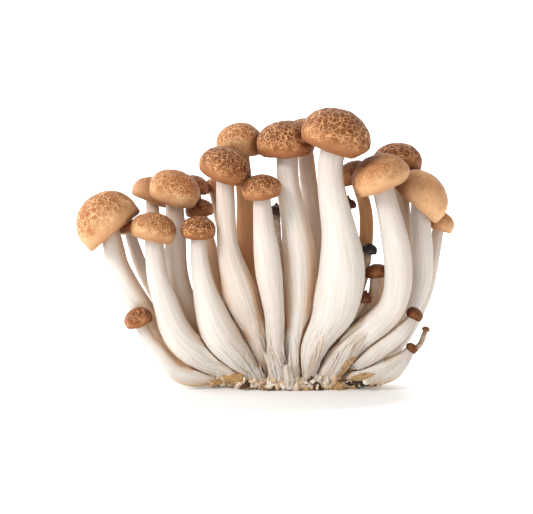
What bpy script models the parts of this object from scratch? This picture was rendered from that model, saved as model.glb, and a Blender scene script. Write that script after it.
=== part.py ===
"""Beech mushroom cluster: slender stems crowded on one low butt, each with a domed cap with gills underneath.

X runs along the cluster, -Y is its front, +Z is up. The origin is the middle of the butt's flat underside.
The plan below is in millimetres. Blender's units are metres.
"""

import math

import bmesh
import bpy
import numpy as np

MM = 0.001
GAP = 0.35  # air between pieces that touch
FOOT_GAP = 0.55  # air between a stem and the butt

# The butt: half its length and depth, its height, and how square its shoulders are
BASE_HALF_LENGTH = 29.0
BASE_HALF_DEPTH = 13.0
BASE_HEIGHT = 5.5
BASE_SHOULDER = 2.6
BASE_FLAT = 0.93  # the flat underside, as a share of the outline
BASE_TUCK = 1.0  # height where the underside's edge meets the outline
BASE_COLUMNS = 40
BASE_RINGS = 5

# A cap's outline: distance from its axis in radii, and height over its widest ring as a share of the dome's
DOME_RINGS = ((0.48, 0.86), (0.82, 0.54), (1.0, 0.0))
# Under its widest ring: distances are in cap radii, and depths are shares of the brim's depth
CAP_LIP = 0.70
FULL_RIM = 0.92  # narrower margins carry narrower lips
LIP_EDGE = 0.95
LIP_VALLEY = 0.82
GILL_EDGE = 0.68
SEAT = 0.30  # the flat where the stem meets the cap, and the valleys between the gills
CAP_UNDER = 0.10  # how much deeper than the brim a cap is for its neighbours, in radii
SEAT_MARGIN = 0.5  # from the stem's side to the gills' inner ends

STEM_COLUMNS = 10
STEM_RINGS = 11
ROUTE_STEPS = 56  # places along a stem where it is pressed by its neighbours
NECK_TURN = 8  # steps over which a stem's top turns square to its cap
PRESS_STEPS = 16

BUD_COLUMNS = 9
BUD_RINGS = 8
BUD_CAP = ((0.55, -0.45), (0.95, -0.32), (1.0, 0.05), (0.7, 0.55), (0.3, 0.75))


def mushroom(cap, radius, lean, neck, stem, tall=0.78, brim=0.40, rim=0.92, skew=0.0, tuck=0.0):
    """cap: middle of its widest ring. lean: how far its axis leans in X and Y for each unit up.
    neck: the stem's radius under the cap. stem: x, y, z and radius from its root upwards.
    tall: the dome's height over its widest ring, and brim: its depth under that ring, in cap radii.
    rim: the radius of its margin in cap radii. skew: how much deeper its brim is towards +X.
    tuck: how much further in its margin stands towards +X, as a share of the rim."""
    return {
        "cap": cap, "radius": radius, "lean": lean, "neck": neck, "stem": stem,
        "tall": tall, "brim": brim, "rim": rim, "skew": skew, "tuck": tuck,
    }


MUSHROOMS = {
    "01": mushroom((-60.2, -4.6, 53.4), 10.5, (-0.80, 0.10), 2.9, [
        (-22, 0, 2, 2.8), (-28.5, -1.2, 4, 3.0), (-35.4, -2, 8, 3.3), (-41.5, -3, 14, 3.7),
        (-46.6, -3, 21, 3.9), (-51.3, -3.5, 28, 3.9), (-55, -4, 34.5, 3.8),
        (-57.5, -4.3, 40, 3.7), (-58.3, -4.5, 44.5, 3.5)], tall=0.92, brim=0.40, rim=0.98),
    "02": mushroom((-50.2, -11, 23), 4.6, (-0.35, -0.10), 2.1, [
        (-19, -6, 2.5, 2.4), (-28, -8, 3.5, 3.2), (-34, -9.5, 3.9, 3.4), (-38.2, -10, 5.6, 3.1),
        (-41.2, -10.3, 9, 2.6), (-43.8, -10.6, 12.4, 2.4), (-46.4, -10.8, 15.6, 2.3)]),
    "03": mushroom((-46.8, 13, 60.6), 6.7, (0.42, 0.12), 2.4, [
        (-21, 6.5, 2, 2.4), (-27, 8, 7, 2.7), (-34.3, 8.5, 13, 2.9), (-40.8, 9, 30, 2.9),
        (-45.7, 10.5, 44, 2.7)]),
    "04": mushroom((-38.8, 0, 63.2), 8.2, (0.32, -0.18), 2.7, [
        (-17.5, 0, 2, 2.6), (-22.5, 0, 7, 2.9), (-29.2, -1, 14, 3.3), (-34.7, -1, 24, 3.7),
        (-37.7, -1, 34, 3.7), (-38.6, 0, 47, 3.4)]),
    "05": mushroom((-45, -12, 52), 7.2, (0.20, -0.05), 2.9, [
        (-14, -8.5, 1.5, 3.0), (-19.4, -9.7, 5.4, 3.8), (-26, -10, 8.9, 4.6), (-32, -10.5, 12.2, 5.0),
        (-36.8, -11, 16.8, 4.9), (-39.2, -11, 21, 4.7), (-41.5, -11, 28, 4.1),
        (-43.8, -11.5, 36, 3.5)], tall=0.72, brim=0.42),
    "06": mushroom((-31, -11.5, 52), 5.6, (0.0, -0.15), 2.4, [
        (-10, -10.3, 1.2, 2.4), (-13, -10.7, 4.9, 2.9), (-16, -10.8, 8, 4.0), (-18.8, -11, 11, 5.0),
        (-21.9, -11.2, 14.6, 5.8), (-24.8, -11.2, 19.6, 6.0), (-27.4, -11, 27, 5.0), (-29, -11, 33, 3.9),
        (-30.2, -11, 40, 3.1)], tall=0.72),
    "07": mushroom((-54, 5, 50), 3.9, (-0.10, 0.20), 1.8, [
        (-24, 4, 2, 2.0), (-30, 3, 8, 2.2), (-37.5, 2.5, 15, 2.3), (-44.6, 3.5, 27, 2.3),
        (-50.1, 4, 38, 2.1)]),
    "08": mushroom((-33.6, 15.5, 62.3), 5.3, (0.05, 0.15), 2.4, [
        (-14.5, 8, 2, 2.4), (-18.5, 9, 7, 2.6), (-22.9, 10, 14, 2.9), (-27.1, 11, 27, 3.0),
        (-30.1, 13, 43, 2.7)]),
    "09": mushroom((-31, 7, 56), 4.5, (-0.10, 0.0), 1.9, [
        (-11.5, 2.5, 1.5, 2.2), (-14.6, 2.5, 8, 2.6), (-18.5, 2.5, 17, 3.1), (-22.4, 3, 26.5, 3.2),
        (-25.6, 3.5, 35, 2.9), (-27.5, 4.5, 43, 2.4)]),
    "10": mushroom((-22.3, -9, 71.2), 8.3, (0.36, -0.12), 2.9, [
        (-8, -6, 1.5, 2.5), (-9.2, -6.5, 6, 2.9), (-11, -7, 12, 3.4), (-12.4, -7.2, 16.5, 3.9),
        (-14.2, -7.3, 21, 4.6), (-16.7, -7.5, 27, 5.8), (-18, -7.7, 31.5, 5.9), (-19.4, -7.9, 36.5, 5.1),
        (-20.8, -8, 41.5, 4.3), (-21.8, -8.2, 47, 3.6), (-22.2, -8.4, 56, 3.2)], rim=0.88),
    "11": mushroom((-18, 6, 78), 7.6, (-0.12, 0.05), 2.7, [
        (-7, 1, 1.5, 2.4), (-8.5, 1, 9, 2.6), (-10.7, 1, 17, 2.9), (-14, 2, 30, 3.2),
        (-15.9, 3, 47, 3.1), (-16, 4, 60, 2.9)], tall=0.84, brim=0.60),
    "12": mushroom((-3, -3, 78.6), 9.2, (-0.06, -0.10), 3.4, [
        (-1.5, -9.3, 1.2, 3.3), (-1.2, -9, 5.5, 3.8), (0, -7.5, 14, 4.5), (0.9, -6, 22, 4.9),
        (1.4, -5.3, 29, 5.2), (1.3, -5, 37, 5.4), (1, -5, 45, 5.3), (-0.4, -5, 54, 4.6),
        (-2, -4.5, 62, 3.9)], tall=0.78, brim=0.34),
    "13": mushroom((-11, -13, 65), 6.3, (-0.05, -0.10), 2.7, [
        (-5.8, -10.7, 1.2, 2.7), (-6.1, -11, 5.5, 3.1), (-6.4, -11.3, 15, 3.2), (-6.7, -11.3, 23, 3.4),
        (-7.4, -12, 30, 3.8), (-8.4, -12, 37, 4.3), (-9.2, -12.5, 44, 4.2),
        (-10.1, -12.8, 52, 3.5)], tall=0.71),
    "14": mushroom((3, 14, 80), 6.7, (-0.10, 0.12), 2.6, [
        (1.5, 2, 1.5, 2.3), (2.3, 2.5, 14, 2.7), (5.6, 4, 30, 3.2), (6.6, 7, 46, 3.2), (5, 10, 60, 2.9)]),
    "15": mushroom((12.4, -14.2, 81.1), 11.0, (0.32, 0.0), 3.9, [
        (3.2, -9.3, 1.2, 2.6), (3.7, -9.6, 5.5, 2.9), (4.9, -10.2, 10.5, 4.1), (7, -10.6, 16, 5.1),
        (9.6, -10.8, 20.5, 5.7),
        (12, -11, 25, 6.8), (13.6, -11, 31, 7.5), (14.5, -11, 37, 7.7), (14.6, -11, 43, 7.2),
        (13.9, -11.5, 50, 6.1), (12.5, -12, 58, 5.1), (11.4, -12.5, 65, 4.5), (10.9, -13, 72, 4.2)],
        tall=0.86, brim=0.37, rim=0.76, skew=0.10, tuck=0.13),
    "16": mushroom((19.5, 4, 68), 5.6, (-0.25, 0.05), 2.0, [
        (10.5, 4, 1.5, 2.0), (12, 3.5, 8, 2.1), (15.5, 2.5, 18, 2.3), (20, 1.5, 31, 2.3),
        (22.5, 1, 43, 2.3), (22.8, 2, 56, 2.2)], brim=0.52),
    "17": mushroom((26.8, -11, 68.2), 9.5, (-0.42, -0.10), 3.1, [
        (9.3, -8.5, 1.2, 3.3), (11, -8.8, 5.5, 4.3), (15.4, -8.8, 11.7, 4.7), (20.6, -9, 16.8, 4.8),
        (25.6, -10.2, 20.8, 4.9), (29.8, -10.7, 25, 4.8), (32.2, -11, 31, 4.7), (32.9, -11, 37, 4.7),
        (32.4, -11, 44, 4.6), (31, -11, 51, 4.2)], tall=0.80, brim=0.30, rim=0.88, tuck=0.05),
    "18": mushroom((33.2, 12, 71), 8.2, (-0.10, 0.15), 2.8, [
        (16.5, 6.5, 1.5, 2.4), (20.5, 7, 7, 2.5), (25.3, 6.5, 14, 2.7), (31.7, 6.5, 28, 3.2),
        (35, 8, 44, 3.1)]),
    "19": mushroom((40.3, 0.2, 60.9), 9.5, (0.85, 0.08), 3.2, [
        (16.5, -0.5, 2, 2.4), (19.5, 0, 6, 2.7), (25, 1, 10.5, 3.0), (32.6, 1, 16.5, 3.3),
        (38, 1, 25, 3.2), (41, 1, 34, 3.3), (41.1, 0.5, 43, 3.6), (40.6, 0.3, 51, 3.5)],
        tall=0.85, brim=0.35, rim=0.97),
    "20": mushroom((47.3, 10.5, 51.2), 5.0, (0.35, 0.0), 1.9, [
        (21, 7, 2, 1.7), (27, 7.5, 6, 1.9), (34, 7.5, 11, 2.1), (39.4, 8, 20, 2.3),
        (42.8, 8.5, 29, 2.4), (44.9, 9.3, 38, 2.3)]),
    "21": mushroom((26, -5, 37.6), 3.8, (-0.10, -0.10), 1.9, [
        (14, 1, 1.5, 2.0), (15, -0.4, 7, 2.5), (17.8, -2.8, 14, 2.9), (21.6, -4.2, 22, 3.0),
        (25.2, -4.0, 29, 2.1)], tall=0.60),
    "22": mushroom((38.2, -10, 24.2), 2.8, (0.55, -0.10), 1.5, [
        (16, -3.5, 2, 2.1), (18.5, -6.8, 5.6, 2.4), (22.2, -11.2, 9.3, 2.4), (27.9, -12.8, 13.8, 2.6),
        (33, -12.3, 18, 2.5)]),
    "23": mushroom((37.2, -11, 13.4), 2.0, (0.80, -0.10), 1.2, [
        (15.5, -7.5, 1.5, 2.6), (19, -9.3, 3.2, 3.0), (23, -10.4, 4.3, 3.5), (27, -11, 5.4, 3.9),
        (31, -11.2, 7, 3.8), (34.3, -11, 9.9, 2.7)]),
    "24": mushroom((9, 19, 49), 6.2, (0.05, 0.25), 2.4, [
        (3.5, 8, 1.5, 2.4), (5.1, 9, 14, 2.7), (7.7, 12, 26, 3.0)]),
    "25": mushroom((-26.6, 20.5, 61.6), 4.0, (-0.05, 0.25), 1.9, [
        (-9.5, 8, 1.5, 2.2), (-12.5, 10, 13, 2.4), (-17.5, 13.5, 29, 2.5), (-23, 17.5, 46, 2.3)]),
    "26": mushroom((35, 19, 42), 5.4, (0.20, 0.25), 2.2, [
        (10, 8.5, 1.5, 2.2), (15.5, 10.5, 11, 2.5), (25, 13.5, 22, 2.7)]),
}

# Dried buds: stem and cap in one, brown all over
BUDS = {
    "01": mushroom((17, -2, 58.6), 2.7, (0.0, 0.0), 1.0, [
        (7, -2.5, 1.5, 1.2), (9.7, -2.5, 11, 1.2), (16.2, -1, 28, 1.1), (18.4, -1, 42, 1.1)], tall=1.3),
    "02": mushroom((23.8, -5.5, 44.6), 2.6, (0.30, -0.10), 1.3, [
        (10, -1, 1.5, 1.4), (12, -1.5, 12, 1.4), (18.4, -2, 24, 1.4), (22.2, -2.5, 35, 1.4)]),
    "03": mushroom((21.9, -8.4, 29.4), 2.7, (0.30, -0.10), 1.3, [
        (11.5, -3.5, 1.5, 1.3), (12.5, -3.8, 8, 1.3), (14.1, -5.2, 13, 1.3), (17.9, -7.1, 21, 1.3)],
        tall=1.1),
    "04": mushroom((42.3, -3, 18.2), 1.4, (0.30, 0.0), 0.9, [
        (20, -3, 2, 1.1), (24, -2.8, 5, 1.1), (29.2, -2.6, 7.6, 1.1), (35.6, -3, 9.4, 1.1),
        (40.2, -3, 13, 1.0)]),
    "05": mushroom((-6, 3, 56), 2.8, (0.0, 0.05), 1.3, [
        (-3.5, -0.5, 1.5, 1.3), (-4.5, -0.5, 14, 1.4), (-5.8, 1, 28, 1.4), (-5.6, 2, 42, 1.4)], tall=1.1),
}

CAP_COLOUR = (0.40, 0.20, 0.085)
STEM_COLOUR = (0.80, 0.72, 0.62)
BASE_COLOUR = (0.58, 0.44, 0.30)
BUD_COLOUR = (0.14, 0.055, 0.022)


def unit(vector):
    """The vector at length one, or a stack of them."""
    vector = np.asarray(vector, float)
    return vector / np.linalg.norm(vector, axis=-1, keepdims=True)


def lean_axis(plan):
    """The way a cap's top points."""
    return unit((*plan["lean"], 1.0))


def axis_frame(axis):
    """Two directions square to the axis and to each other."""
    side = unit(np.cross((0.0, 1.0, 0.0), axis))
    return side, np.cross(axis, side)


def smooth_route(points, steps):
    """Even steps along a smooth curve through the points: x, y, z and radius."""
    points = np.asarray(points, float)
    spans = np.linalg.norm(np.diff(points[:, :3], axis=0), axis=1)
    knots = np.concatenate(([0.0], np.cumsum(spans)))
    slopes = np.gradient(points, knots, axis=0)
    fine = np.linspace(0.0, knots[-1], 8 * steps)
    span = np.clip(np.searchsorted(knots, fine, side="right") - 1, 0, len(spans) - 1)
    width = spans[span][:, None]
    share = ((fine - knots[span]) / spans[span])[:, None]
    start, end = points[span], points[span + 1]
    start_slope, end_slope = slopes[span] * width, slopes[span + 1] * width
    curve = (
        (2 * share**3 - 3 * share**2 + 1) * start
        + (share**3 - 2 * share**2 + share) * start_slope
        + (3 * share**2 - 2 * share**3) * end
        + (share**3 - share**2) * end_slope
    )
    run = np.concatenate(([0.0], np.cumsum(np.linalg.norm(np.diff(curve[:, :3], axis=0), axis=1))))
    even = np.linspace(0.0, run[-1], steps)
    return np.stack([np.interp(even, run, curve[:, i]) for i in range(4)], axis=1)


def stem_route(plan, seat):
    """The stem's middle line and radius, from its root in the butt to the seat, given in cap radii down."""
    cap = np.array(plan["cap"], float)
    axis = lean_axis(plan)
    top = cap - axis * (seat * plan["radius"] + GAP)
    return smooth_route([*plan["stem"], (*top, plan["neck"])], ROUTE_STEPS)


ROUTES = {name: stem_route(plan, SEAT * plan["brim"]) for name, plan in MUSHROOMS.items()}
BUD_ROUTES = {name: stem_route(plan, -BUD_CAP[0][1]) for name, plan in BUDS.items()}


def tube_distance(points, route):
    """How far each point is outside the stem along the route, below zero inside."""
    apart = np.linalg.norm(points[:, None, :] - route[None, :, :3], axis=2)
    return (apart - route[None, :, 3]).min(axis=1)


def cap_distance(points, plan):
    """How far each point is outside the cap's dome, towards its middle, below zero inside."""
    away = points - np.array(plan["cap"], float)
    height = away @ lean_axis(plan)
    across = np.sqrt(np.maximum((away**2).sum(axis=1) - height**2, 0.0))
    tall = np.where(height > 0.0, plan["tall"], plan["brim"] + CAP_UNDER)
    share = np.hypot(across, height / tall) / plan["radius"]
    reach = np.linalg.norm(away, axis=1)
    return np.where(share > 1e-6, reach * (1.0 - 1.0 / np.maximum(share, 1e-6)), -plan["radius"])


def neighbours(own):
    """The distance functions of everything but the mushroom or bud itself."""
    found = []
    for kind, plans, routes in (("mushroom", MUSHROOMS, ROUTES), ("bud", BUDS, BUD_ROUTES)):
        for name, plan in plans.items():
            if (kind, name) == own:
                continue
            found.append(lambda points, route=routes[name]: tube_distance(points, route))
            found.append(lambda points, plan=plan: cap_distance(points, plan))
    return found


def press(points, cores, own_distance, others):
    """Moves each point towards its core until its own piece is nearer than any neighbour, by the gap.
    Pieces that crowd each other then meet in a flat with the gap between them."""
    def free(trial):
        room = np.min([other(trial) for other in others], axis=0)
        return room - own_distance(trial) >= GAP

    low = np.zeros(len(points))
    high = np.ones(len(points))
    held = ~free(points)
    if not held.any():
        return points
    high = np.where(held, high, 0.0)
    low = np.where(held, low, 0.0)
    for _ in range(PRESS_STEPS):
        middle = (low + high) / 2
        fits = free(points + (cores - points) * middle[:, None])
        high = np.where(fits, middle, high)
        low = np.where(fits, low, middle)
    high = np.where(held, high, 0.0)
    return points + (cores - points) * high[:, None]


def base_swell(angle):
    """The butt's uneven outline, as a share of its half length and depth."""
    return 1.0 + 0.022 * np.cos(7 * angle + 1.0) + 0.016 * np.cos(12 * angle)


def base_inside(points, margin):
    """Below zero inside the butt grown by the margin."""
    angle = np.arctan2(points[:, 1] / BASE_HALF_DEPTH, points[:, 0] / BASE_HALF_LENGTH)
    swell = base_swell(angle)
    across = np.hypot(
        points[:, 0] / (BASE_HALF_LENGTH * swell + margin), points[:, 1] / (BASE_HALF_DEPTH * swell + margin)
    )
    height = np.abs(points[:, 2]) / (BASE_HEIGHT + margin)
    return across**BASE_SHOULDER + height**BASE_SHOULDER - 1.0


def new_object(name, vertices, faces, material):
    """A closed mesh object with its faces pointing out, from millimetres."""
    mesh = bpy.data.meshes.new(name)
    mesh.from_pydata([tuple(float(c) * MM for c in v) for v in vertices], [], faces)
    work = bmesh.new()
    work.from_mesh(mesh)
    bmesh.ops.triangulate(work, faces=work.faces[:])
    bmesh.ops.recalc_face_normals(work, faces=work.faces[:])
    work.to_mesh(mesh)
    work.free()
    mesh.shade_smooth()
    mesh.set_sharp_from_angle(angle=math.radians(50))
    mesh.materials.append(material)
    thing = bpy.data.objects.new(name, mesh)
    bpy.context.scene.collection.objects.link(thing)
    return thing


def new_material(name, colour, roughness):
    """A plain Principled material."""
    material = bpy.data.materials.new(name)
    material.use_nodes = True
    shader = material.node_tree.nodes["Principled BSDF"]
    shader.inputs["Base Color"].default_value = (*colour, 1.0)
    shader.inputs["Roughness"].default_value = roughness
    shader.inputs["Metallic"].default_value = 0.0
    return material


def ring_faces(first, second, count):
    """Quads between two rings of count vertices that start at the given numbers."""
    return [
        (first + i, first + (i + 1) % count, second + (i + 1) % count, second + i) for i in range(count)
    ]


def fan_faces(centre, ring, count):
    """Triangles from a centre to a ring of count vertices."""
    return [(centre, ring + i, ring + (i + 1) % count) for i in range(count)]


def pressed_columns(route, axis, columns, own_distance, others):
    """Points of the stem's skin, by step along the route and by column around it, pressed by its neighbours.
    It starts as a point at the root, inside the butt, and its top steps turn square to the cap's axis."""
    middle = route[:, :3]
    turned = np.clip((np.arange(len(route)) - len(route) + 1 + NECK_TURN) / NECK_TURN, 0.0, 1.0)[:, None]
    tangents = unit(unit(np.gradient(middle, axis=0)) * (1 - turned) + axis * turned)
    sides = unit(np.cross((0.0, 1.0, 0.0), tangents))
    fronts = np.cross(tangents, sides)
    angles = 2 * math.pi * np.arange(columns) / columns
    around = np.cos(angles)[:, None] * sides[:, None, :] + np.sin(angles)[:, None] * fronts[:, None, :]
    radii = route[:, 3].copy()
    radii[0] = 0.0
    skin = middle[:, None, :] + around * radii[:, None, None]
    cores = np.repeat(middle[:, None, :], columns, axis=1)
    pressed = press(skin.reshape(-1, 3), cores.reshape(-1, 3), own_distance, others)
    return pressed.reshape(skin.shape)


def leave_base(line):
    """The step along the line, with its fraction, where it last comes out of the butt."""
    inside = base_inside(line, FOOT_GAP)
    buried = np.nonzero(inside < 0.0)[0]
    last = buried[-1]
    return last + inside[last] / (inside[last] - inside[last + 1])


def walk(line, steps):
    """Points at fractional steps along a line of points."""
    whole = np.arange(len(line))
    return np.stack([np.interp(steps, whole, line[:, i]) for i in range(3)], axis=1)


def stem_body(route, axis, columns, rings, own_distance, others):
    """Vertices ring by ring from the butt's surface to the top, then the foot's centre."""
    skin = pressed_columns(route, axis, columns, own_distance, others)
    shares = np.linspace(0.0, 1.0, rings)
    last = len(route) - 1
    lines = []
    for column in range(columns):
        start = leave_base(skin[:, column])
        lines.append(walk(skin[:, column], start + (last - start) * shares))
    grid = np.stack(lines, axis=1)
    foot = walk(route[:, :3], np.array([leave_base(route[:, :3])]))
    return grid.reshape(-1, 3), foot


def build_stem(name, plan, material):
    """A stem: a tube along its route, its foot shaped to the butt and its top flat under the cap."""
    route = ROUTES[name]
    others = neighbours(("mushroom", name))
    axis = lean_axis(plan)
    skin, foot = stem_body(route, axis, STEM_COLUMNS, STEM_RINGS, lambda p: tube_distance(p, route), others)
    vertices = [*skin, *foot]
    faces = []
    for ring in range(STEM_RINGS - 1):
        faces += ring_faces(ring * STEM_COLUMNS, (ring + 1) * STEM_COLUMNS, STEM_COLUMNS)
    faces += fan_faces(len(skin), 0, STEM_COLUMNS)
    top = (STEM_RINGS - 1) * STEM_COLUMNS
    faces.append(tuple(range(top, top + STEM_COLUMNS)))
    return new_object(f"stem_{name}", vertices, faces, material)


def gill_count(radius):
    """Wide caps have more gills."""
    if radius >= 7.9:
        return 18
    return 14 if radius >= 5.0 else 10


def ring_points(count, radius, height):
    """A ring round Z. Its radius and its height may each be one for the ring or one for each point."""
    angles = 2 * math.pi * np.arange(count) / count
    heights = np.broadcast_to(height, count)
    return np.stack([radius * np.cos(angles), radius * np.sin(angles), heights], axis=1)


def under_height(plan, across, share, angles):
    """Height, in cap radii, of a place under the widest ring: across is its distance from the axis in radii.
    The margin's plane leans by the skew, and the seat's doesn't."""
    lean = plan["skew"] * across * np.cos(angles) * np.clip((share - SEAT) / (1 - SEAT), 0.0, 1.0)
    return -plan["brim"] * share * (1 + lean)


def under_ring(plan, count, across, *shares, tuck=0.0):
    """A ring under the widest ring, whose points take the given shares of the brim's depth in turn."""
    angles = 2 * math.pi * np.arange(count) / count
    heights = under_height(plan, across, np.resize(shares, count), angles)
    return ring_points(count, across * plan["radius"] * (1 - tuck * np.cos(angles)), heights * plan["radius"])


def seat_room(plan):
    """The gills' inner radius: clear of the stem, which may come in at a slant."""
    rising = unit(np.array(plan["cap"], float) - np.array(plan["stem"][-1][:3]))
    slant = math.tan(math.acos(min(1.0, float(rising @ lean_axis(plan)))))
    return plan["neck"] + SEAT_MARGIN + slant * (GILL_EDGE - SEAT) * plan["brim"] * plan["radius"]


def cap_body(plan):
    """A cap about its own axis: its dome from the top down, its lip, then its gills in to the seat."""
    radius = plan["radius"]
    gills = gill_count(radius)
    fine = 2 * gills
    top = plan["tall"] * radius
    rings = [np.array([[0.0, 0.0, top]])]
    rings += [ring_points(gills, across * radius, share * top) for across, share in DOME_RINGS]
    rings.append(under_ring(plan, gills, plan["rim"], 1.0, tuck=plan["tuck"]))
    lip_across = CAP_LIP * min(plan["rim"], FULL_RIM) / FULL_RIM
    lip = under_ring(plan, fine, lip_across, LIP_EDGE, LIP_VALLEY, tuck=plan["tuck"])
    inner = under_ring(plan, fine, seat_room(plan) / radius, GILL_EDGE, SEAT)
    vertices = np.concatenate([*rings, lip, inner])
    faces = fan_faces(0, 1, gills)
    for ring in range(len(DOME_RINGS)):
        faces += ring_faces(1 + ring * gills, 1 + (ring + 1) * gills, gills)
    rim = 1 + len(DOME_RINGS) * gills
    lip_start = rim + gills
    inner_start = lip_start + fine
    for i in range(gills):
        after = (i + 1) % gills
        edge, valley, next_edge = lip_start + 2 * i, lip_start + 2 * i + 1, lip_start + 2 * after
        faces += [(rim + i, edge, valley), (rim + i, valley, rim + after), (rim + after, valley, next_edge)]
        faces.append((inner_start + 2 * i + 1, inner_start + 2 * after, inner_start + 2 * after + 1))
    faces += ring_faces(lip_start, inner_start, fine)
    faces.append(tuple(inner_start + 2 * i + 1 for i in range(gills)))
    return vertices, faces


def build_cap(name, plan, material):
    """A cap in its place, its sides pressed where a neighbour touches it."""
    local, faces = cap_body(plan)
    axis = lean_axis(plan)
    side, front = axis_frame(axis)
    middle = np.array(plan["cap"], float)
    placed = middle + local @ np.stack([side, front, axis])
    cores = np.broadcast_to(middle, placed.shape)
    others = neighbours(("mushroom", name))
    pressed = press(placed, cores, lambda p: cap_distance(p, plan), others)
    return new_object(f"cap_{name}", pressed, faces, material)


def build_bud(name, plan, material):
    """A bud: a thin stem that swells into a closed little cap."""
    route = BUD_ROUTES[name]
    others = neighbours(("bud", name))

    def own_distance(points):
        return np.minimum(tube_distance(points, route), cap_distance(points, plan))

    axis = lean_axis(plan)
    skin, foot = stem_body(route, axis, BUD_COLUMNS, BUD_RINGS, lambda p: tube_distance(p, route), others)
    side, front = axis_frame(axis)
    middle = np.array(plan["cap"], float)
    radius = plan["radius"]
    rings = [ring_points(BUD_COLUMNS, across * radius, height * radius) for across, height in BUD_CAP]
    crown = middle + np.concatenate(rings) @ np.stack([side, front, axis])
    crown = press(crown, np.broadcast_to(middle, crown.shape), own_distance, others)
    tip = middle + axis * plan["tall"] * plan["radius"]
    vertices = [*skin, *crown, *foot, tip]
    last_ring = BUD_RINGS + len(BUD_CAP) - 1
    foot_centre = (last_ring + 1) * BUD_COLUMNS
    faces = []
    for ring in range(last_ring):
        faces += ring_faces(ring * BUD_COLUMNS, (ring + 1) * BUD_COLUMNS, BUD_COLUMNS)
    faces += fan_faces(foot_centre, 0, BUD_COLUMNS)
    faces += fan_faces(foot_centre + 1, last_ring * BUD_COLUMNS, BUD_COLUMNS)
    return new_object(f"bud_{name}", vertices, faces, material)


def base_ring(across, height):
    """A ring of the butt at a share of its outline and a height."""
    angles = 2 * math.pi * np.arange(BASE_COLUMNS) / BASE_COLUMNS
    swell = base_swell(angles) * across
    x = BASE_HALF_LENGTH * swell * np.cos(angles)
    y = BASE_HALF_DEPTH * swell * np.sin(angles)
    return np.stack([x, y, np.full(BASE_COLUMNS, height)], axis=1)


def build_base(material):
    """The butt: a low dome with a flat underside."""
    rings = [base_ring(BASE_FLAT, 0.0)]
    low = math.asin((BASE_TUCK / BASE_HEIGHT) ** (BASE_SHOULDER / 2))
    for ring in range(BASE_RINGS):
        rise = low + (math.pi / 2 - low) * ring / BASE_RINGS
        across = math.cos(rise) ** (2 / BASE_SHOULDER)
        rings.append(base_ring(across, BASE_HEIGHT * math.sin(rise) ** (2 / BASE_SHOULDER)))
    vertices = [*np.concatenate(rings), (0.0, 0.0, BASE_HEIGHT)]
    faces = [tuple(range(BASE_COLUMNS))]
    for ring in range(len(rings) - 1):
        faces += ring_faces(ring * BASE_COLUMNS, (ring + 1) * BASE_COLUMNS, BASE_COLUMNS)
    faces += fan_faces(len(vertices) - 1, (len(rings) - 1) * BASE_COLUMNS, BASE_COLUMNS)
    return new_object("base", vertices, faces, material)


def main():
    for thing in list(bpy.data.objects):
        bpy.data.objects.remove(thing)
    cap_material = new_material("cap", CAP_COLOUR, 0.55)
    stem_material = new_material("stem", STEM_COLOUR, 0.6)
    build_base(new_material("base", BASE_COLOUR, 0.9))
    for name, plan in MUSHROOMS.items():
        build_stem(name, plan, stem_material)
        build_cap(name, plan, cap_material)
    bud_material = new_material("bud", BUD_COLOUR, 0.7)
    for name, plan in BUDS.items():
        build_bud(name, plan, bud_material)


main()
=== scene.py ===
"""The looks of the beech mushroom cluster: fine pieces in the CAD nodes' places, materials, light and camera.

The plan below repeats the cluster's own, in millimetres. Meshes are in metres.
"""

import itertools
import math

import bpy
import numpy as np
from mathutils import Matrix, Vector
from mathutils.bvhtree import BVHTree


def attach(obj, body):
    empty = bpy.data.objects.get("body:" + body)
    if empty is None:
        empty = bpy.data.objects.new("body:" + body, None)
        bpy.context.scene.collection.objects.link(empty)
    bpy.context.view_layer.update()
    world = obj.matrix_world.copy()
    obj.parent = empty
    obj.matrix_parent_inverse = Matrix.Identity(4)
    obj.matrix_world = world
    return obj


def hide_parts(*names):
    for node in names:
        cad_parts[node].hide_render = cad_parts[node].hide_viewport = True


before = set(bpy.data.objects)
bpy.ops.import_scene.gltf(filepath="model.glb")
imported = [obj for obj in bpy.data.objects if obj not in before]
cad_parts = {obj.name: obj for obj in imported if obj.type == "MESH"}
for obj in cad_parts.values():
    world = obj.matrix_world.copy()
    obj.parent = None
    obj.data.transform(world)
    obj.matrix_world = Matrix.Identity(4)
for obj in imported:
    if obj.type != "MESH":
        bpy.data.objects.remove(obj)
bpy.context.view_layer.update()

MM = 0.001

# The photo's frame and its camera
CAMERA_TARGET = (-9.25, 3.0, 41.0)
CAMERA_DISTANCE = 721.0
CAMERA_ELEVATION = 8.0
CAMERA_LENS = 150.0
CAMERA_SENSOR = 36.0

# The lights' middles, watts, widths and colours, and the place that they look at
LIGHTS = {
    "key": ((-560, -560, 620), 6.6, 300, (1.0, 1.0, 1.0)),
    "side": ((-760, 120, 330), 4.0, 420, (1.0, 1.0, 1.0)),
    "front": ((160, -1000, 260), 1.0, 640, (1.0, 0.91, 0.82)),
}
LIGHTS_AIM = (0, 0, 45)
SKY_COLOUR = (1.0, 0.89, 0.77, 1.0)
SKY_STRENGTH = 0.30

# Floor and wall, and how much each glows: near the cluster's shadow, and far from it
STAGE_GREY = (0.80, 0.80, 0.80)
FLOOR_HALF = 6000.0
FLOOR_GLOW = (0.14, 0.95)
WALL_BACK = 1400.0
WALL_HALF = 3000.0
WALL_HEIGHTS = (-10, 3000.0)
WALL_GLOW = (0.85, 0.85)

# Where the floor keeps the cluster's shadow: a place moved and scaled to lie within one
SHADOW_SHIFT = (0.004, 0.022, 0.0)
SHADOW_SHARES = (1 / 0.045, 1 / 0.026, 1.0)

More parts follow.
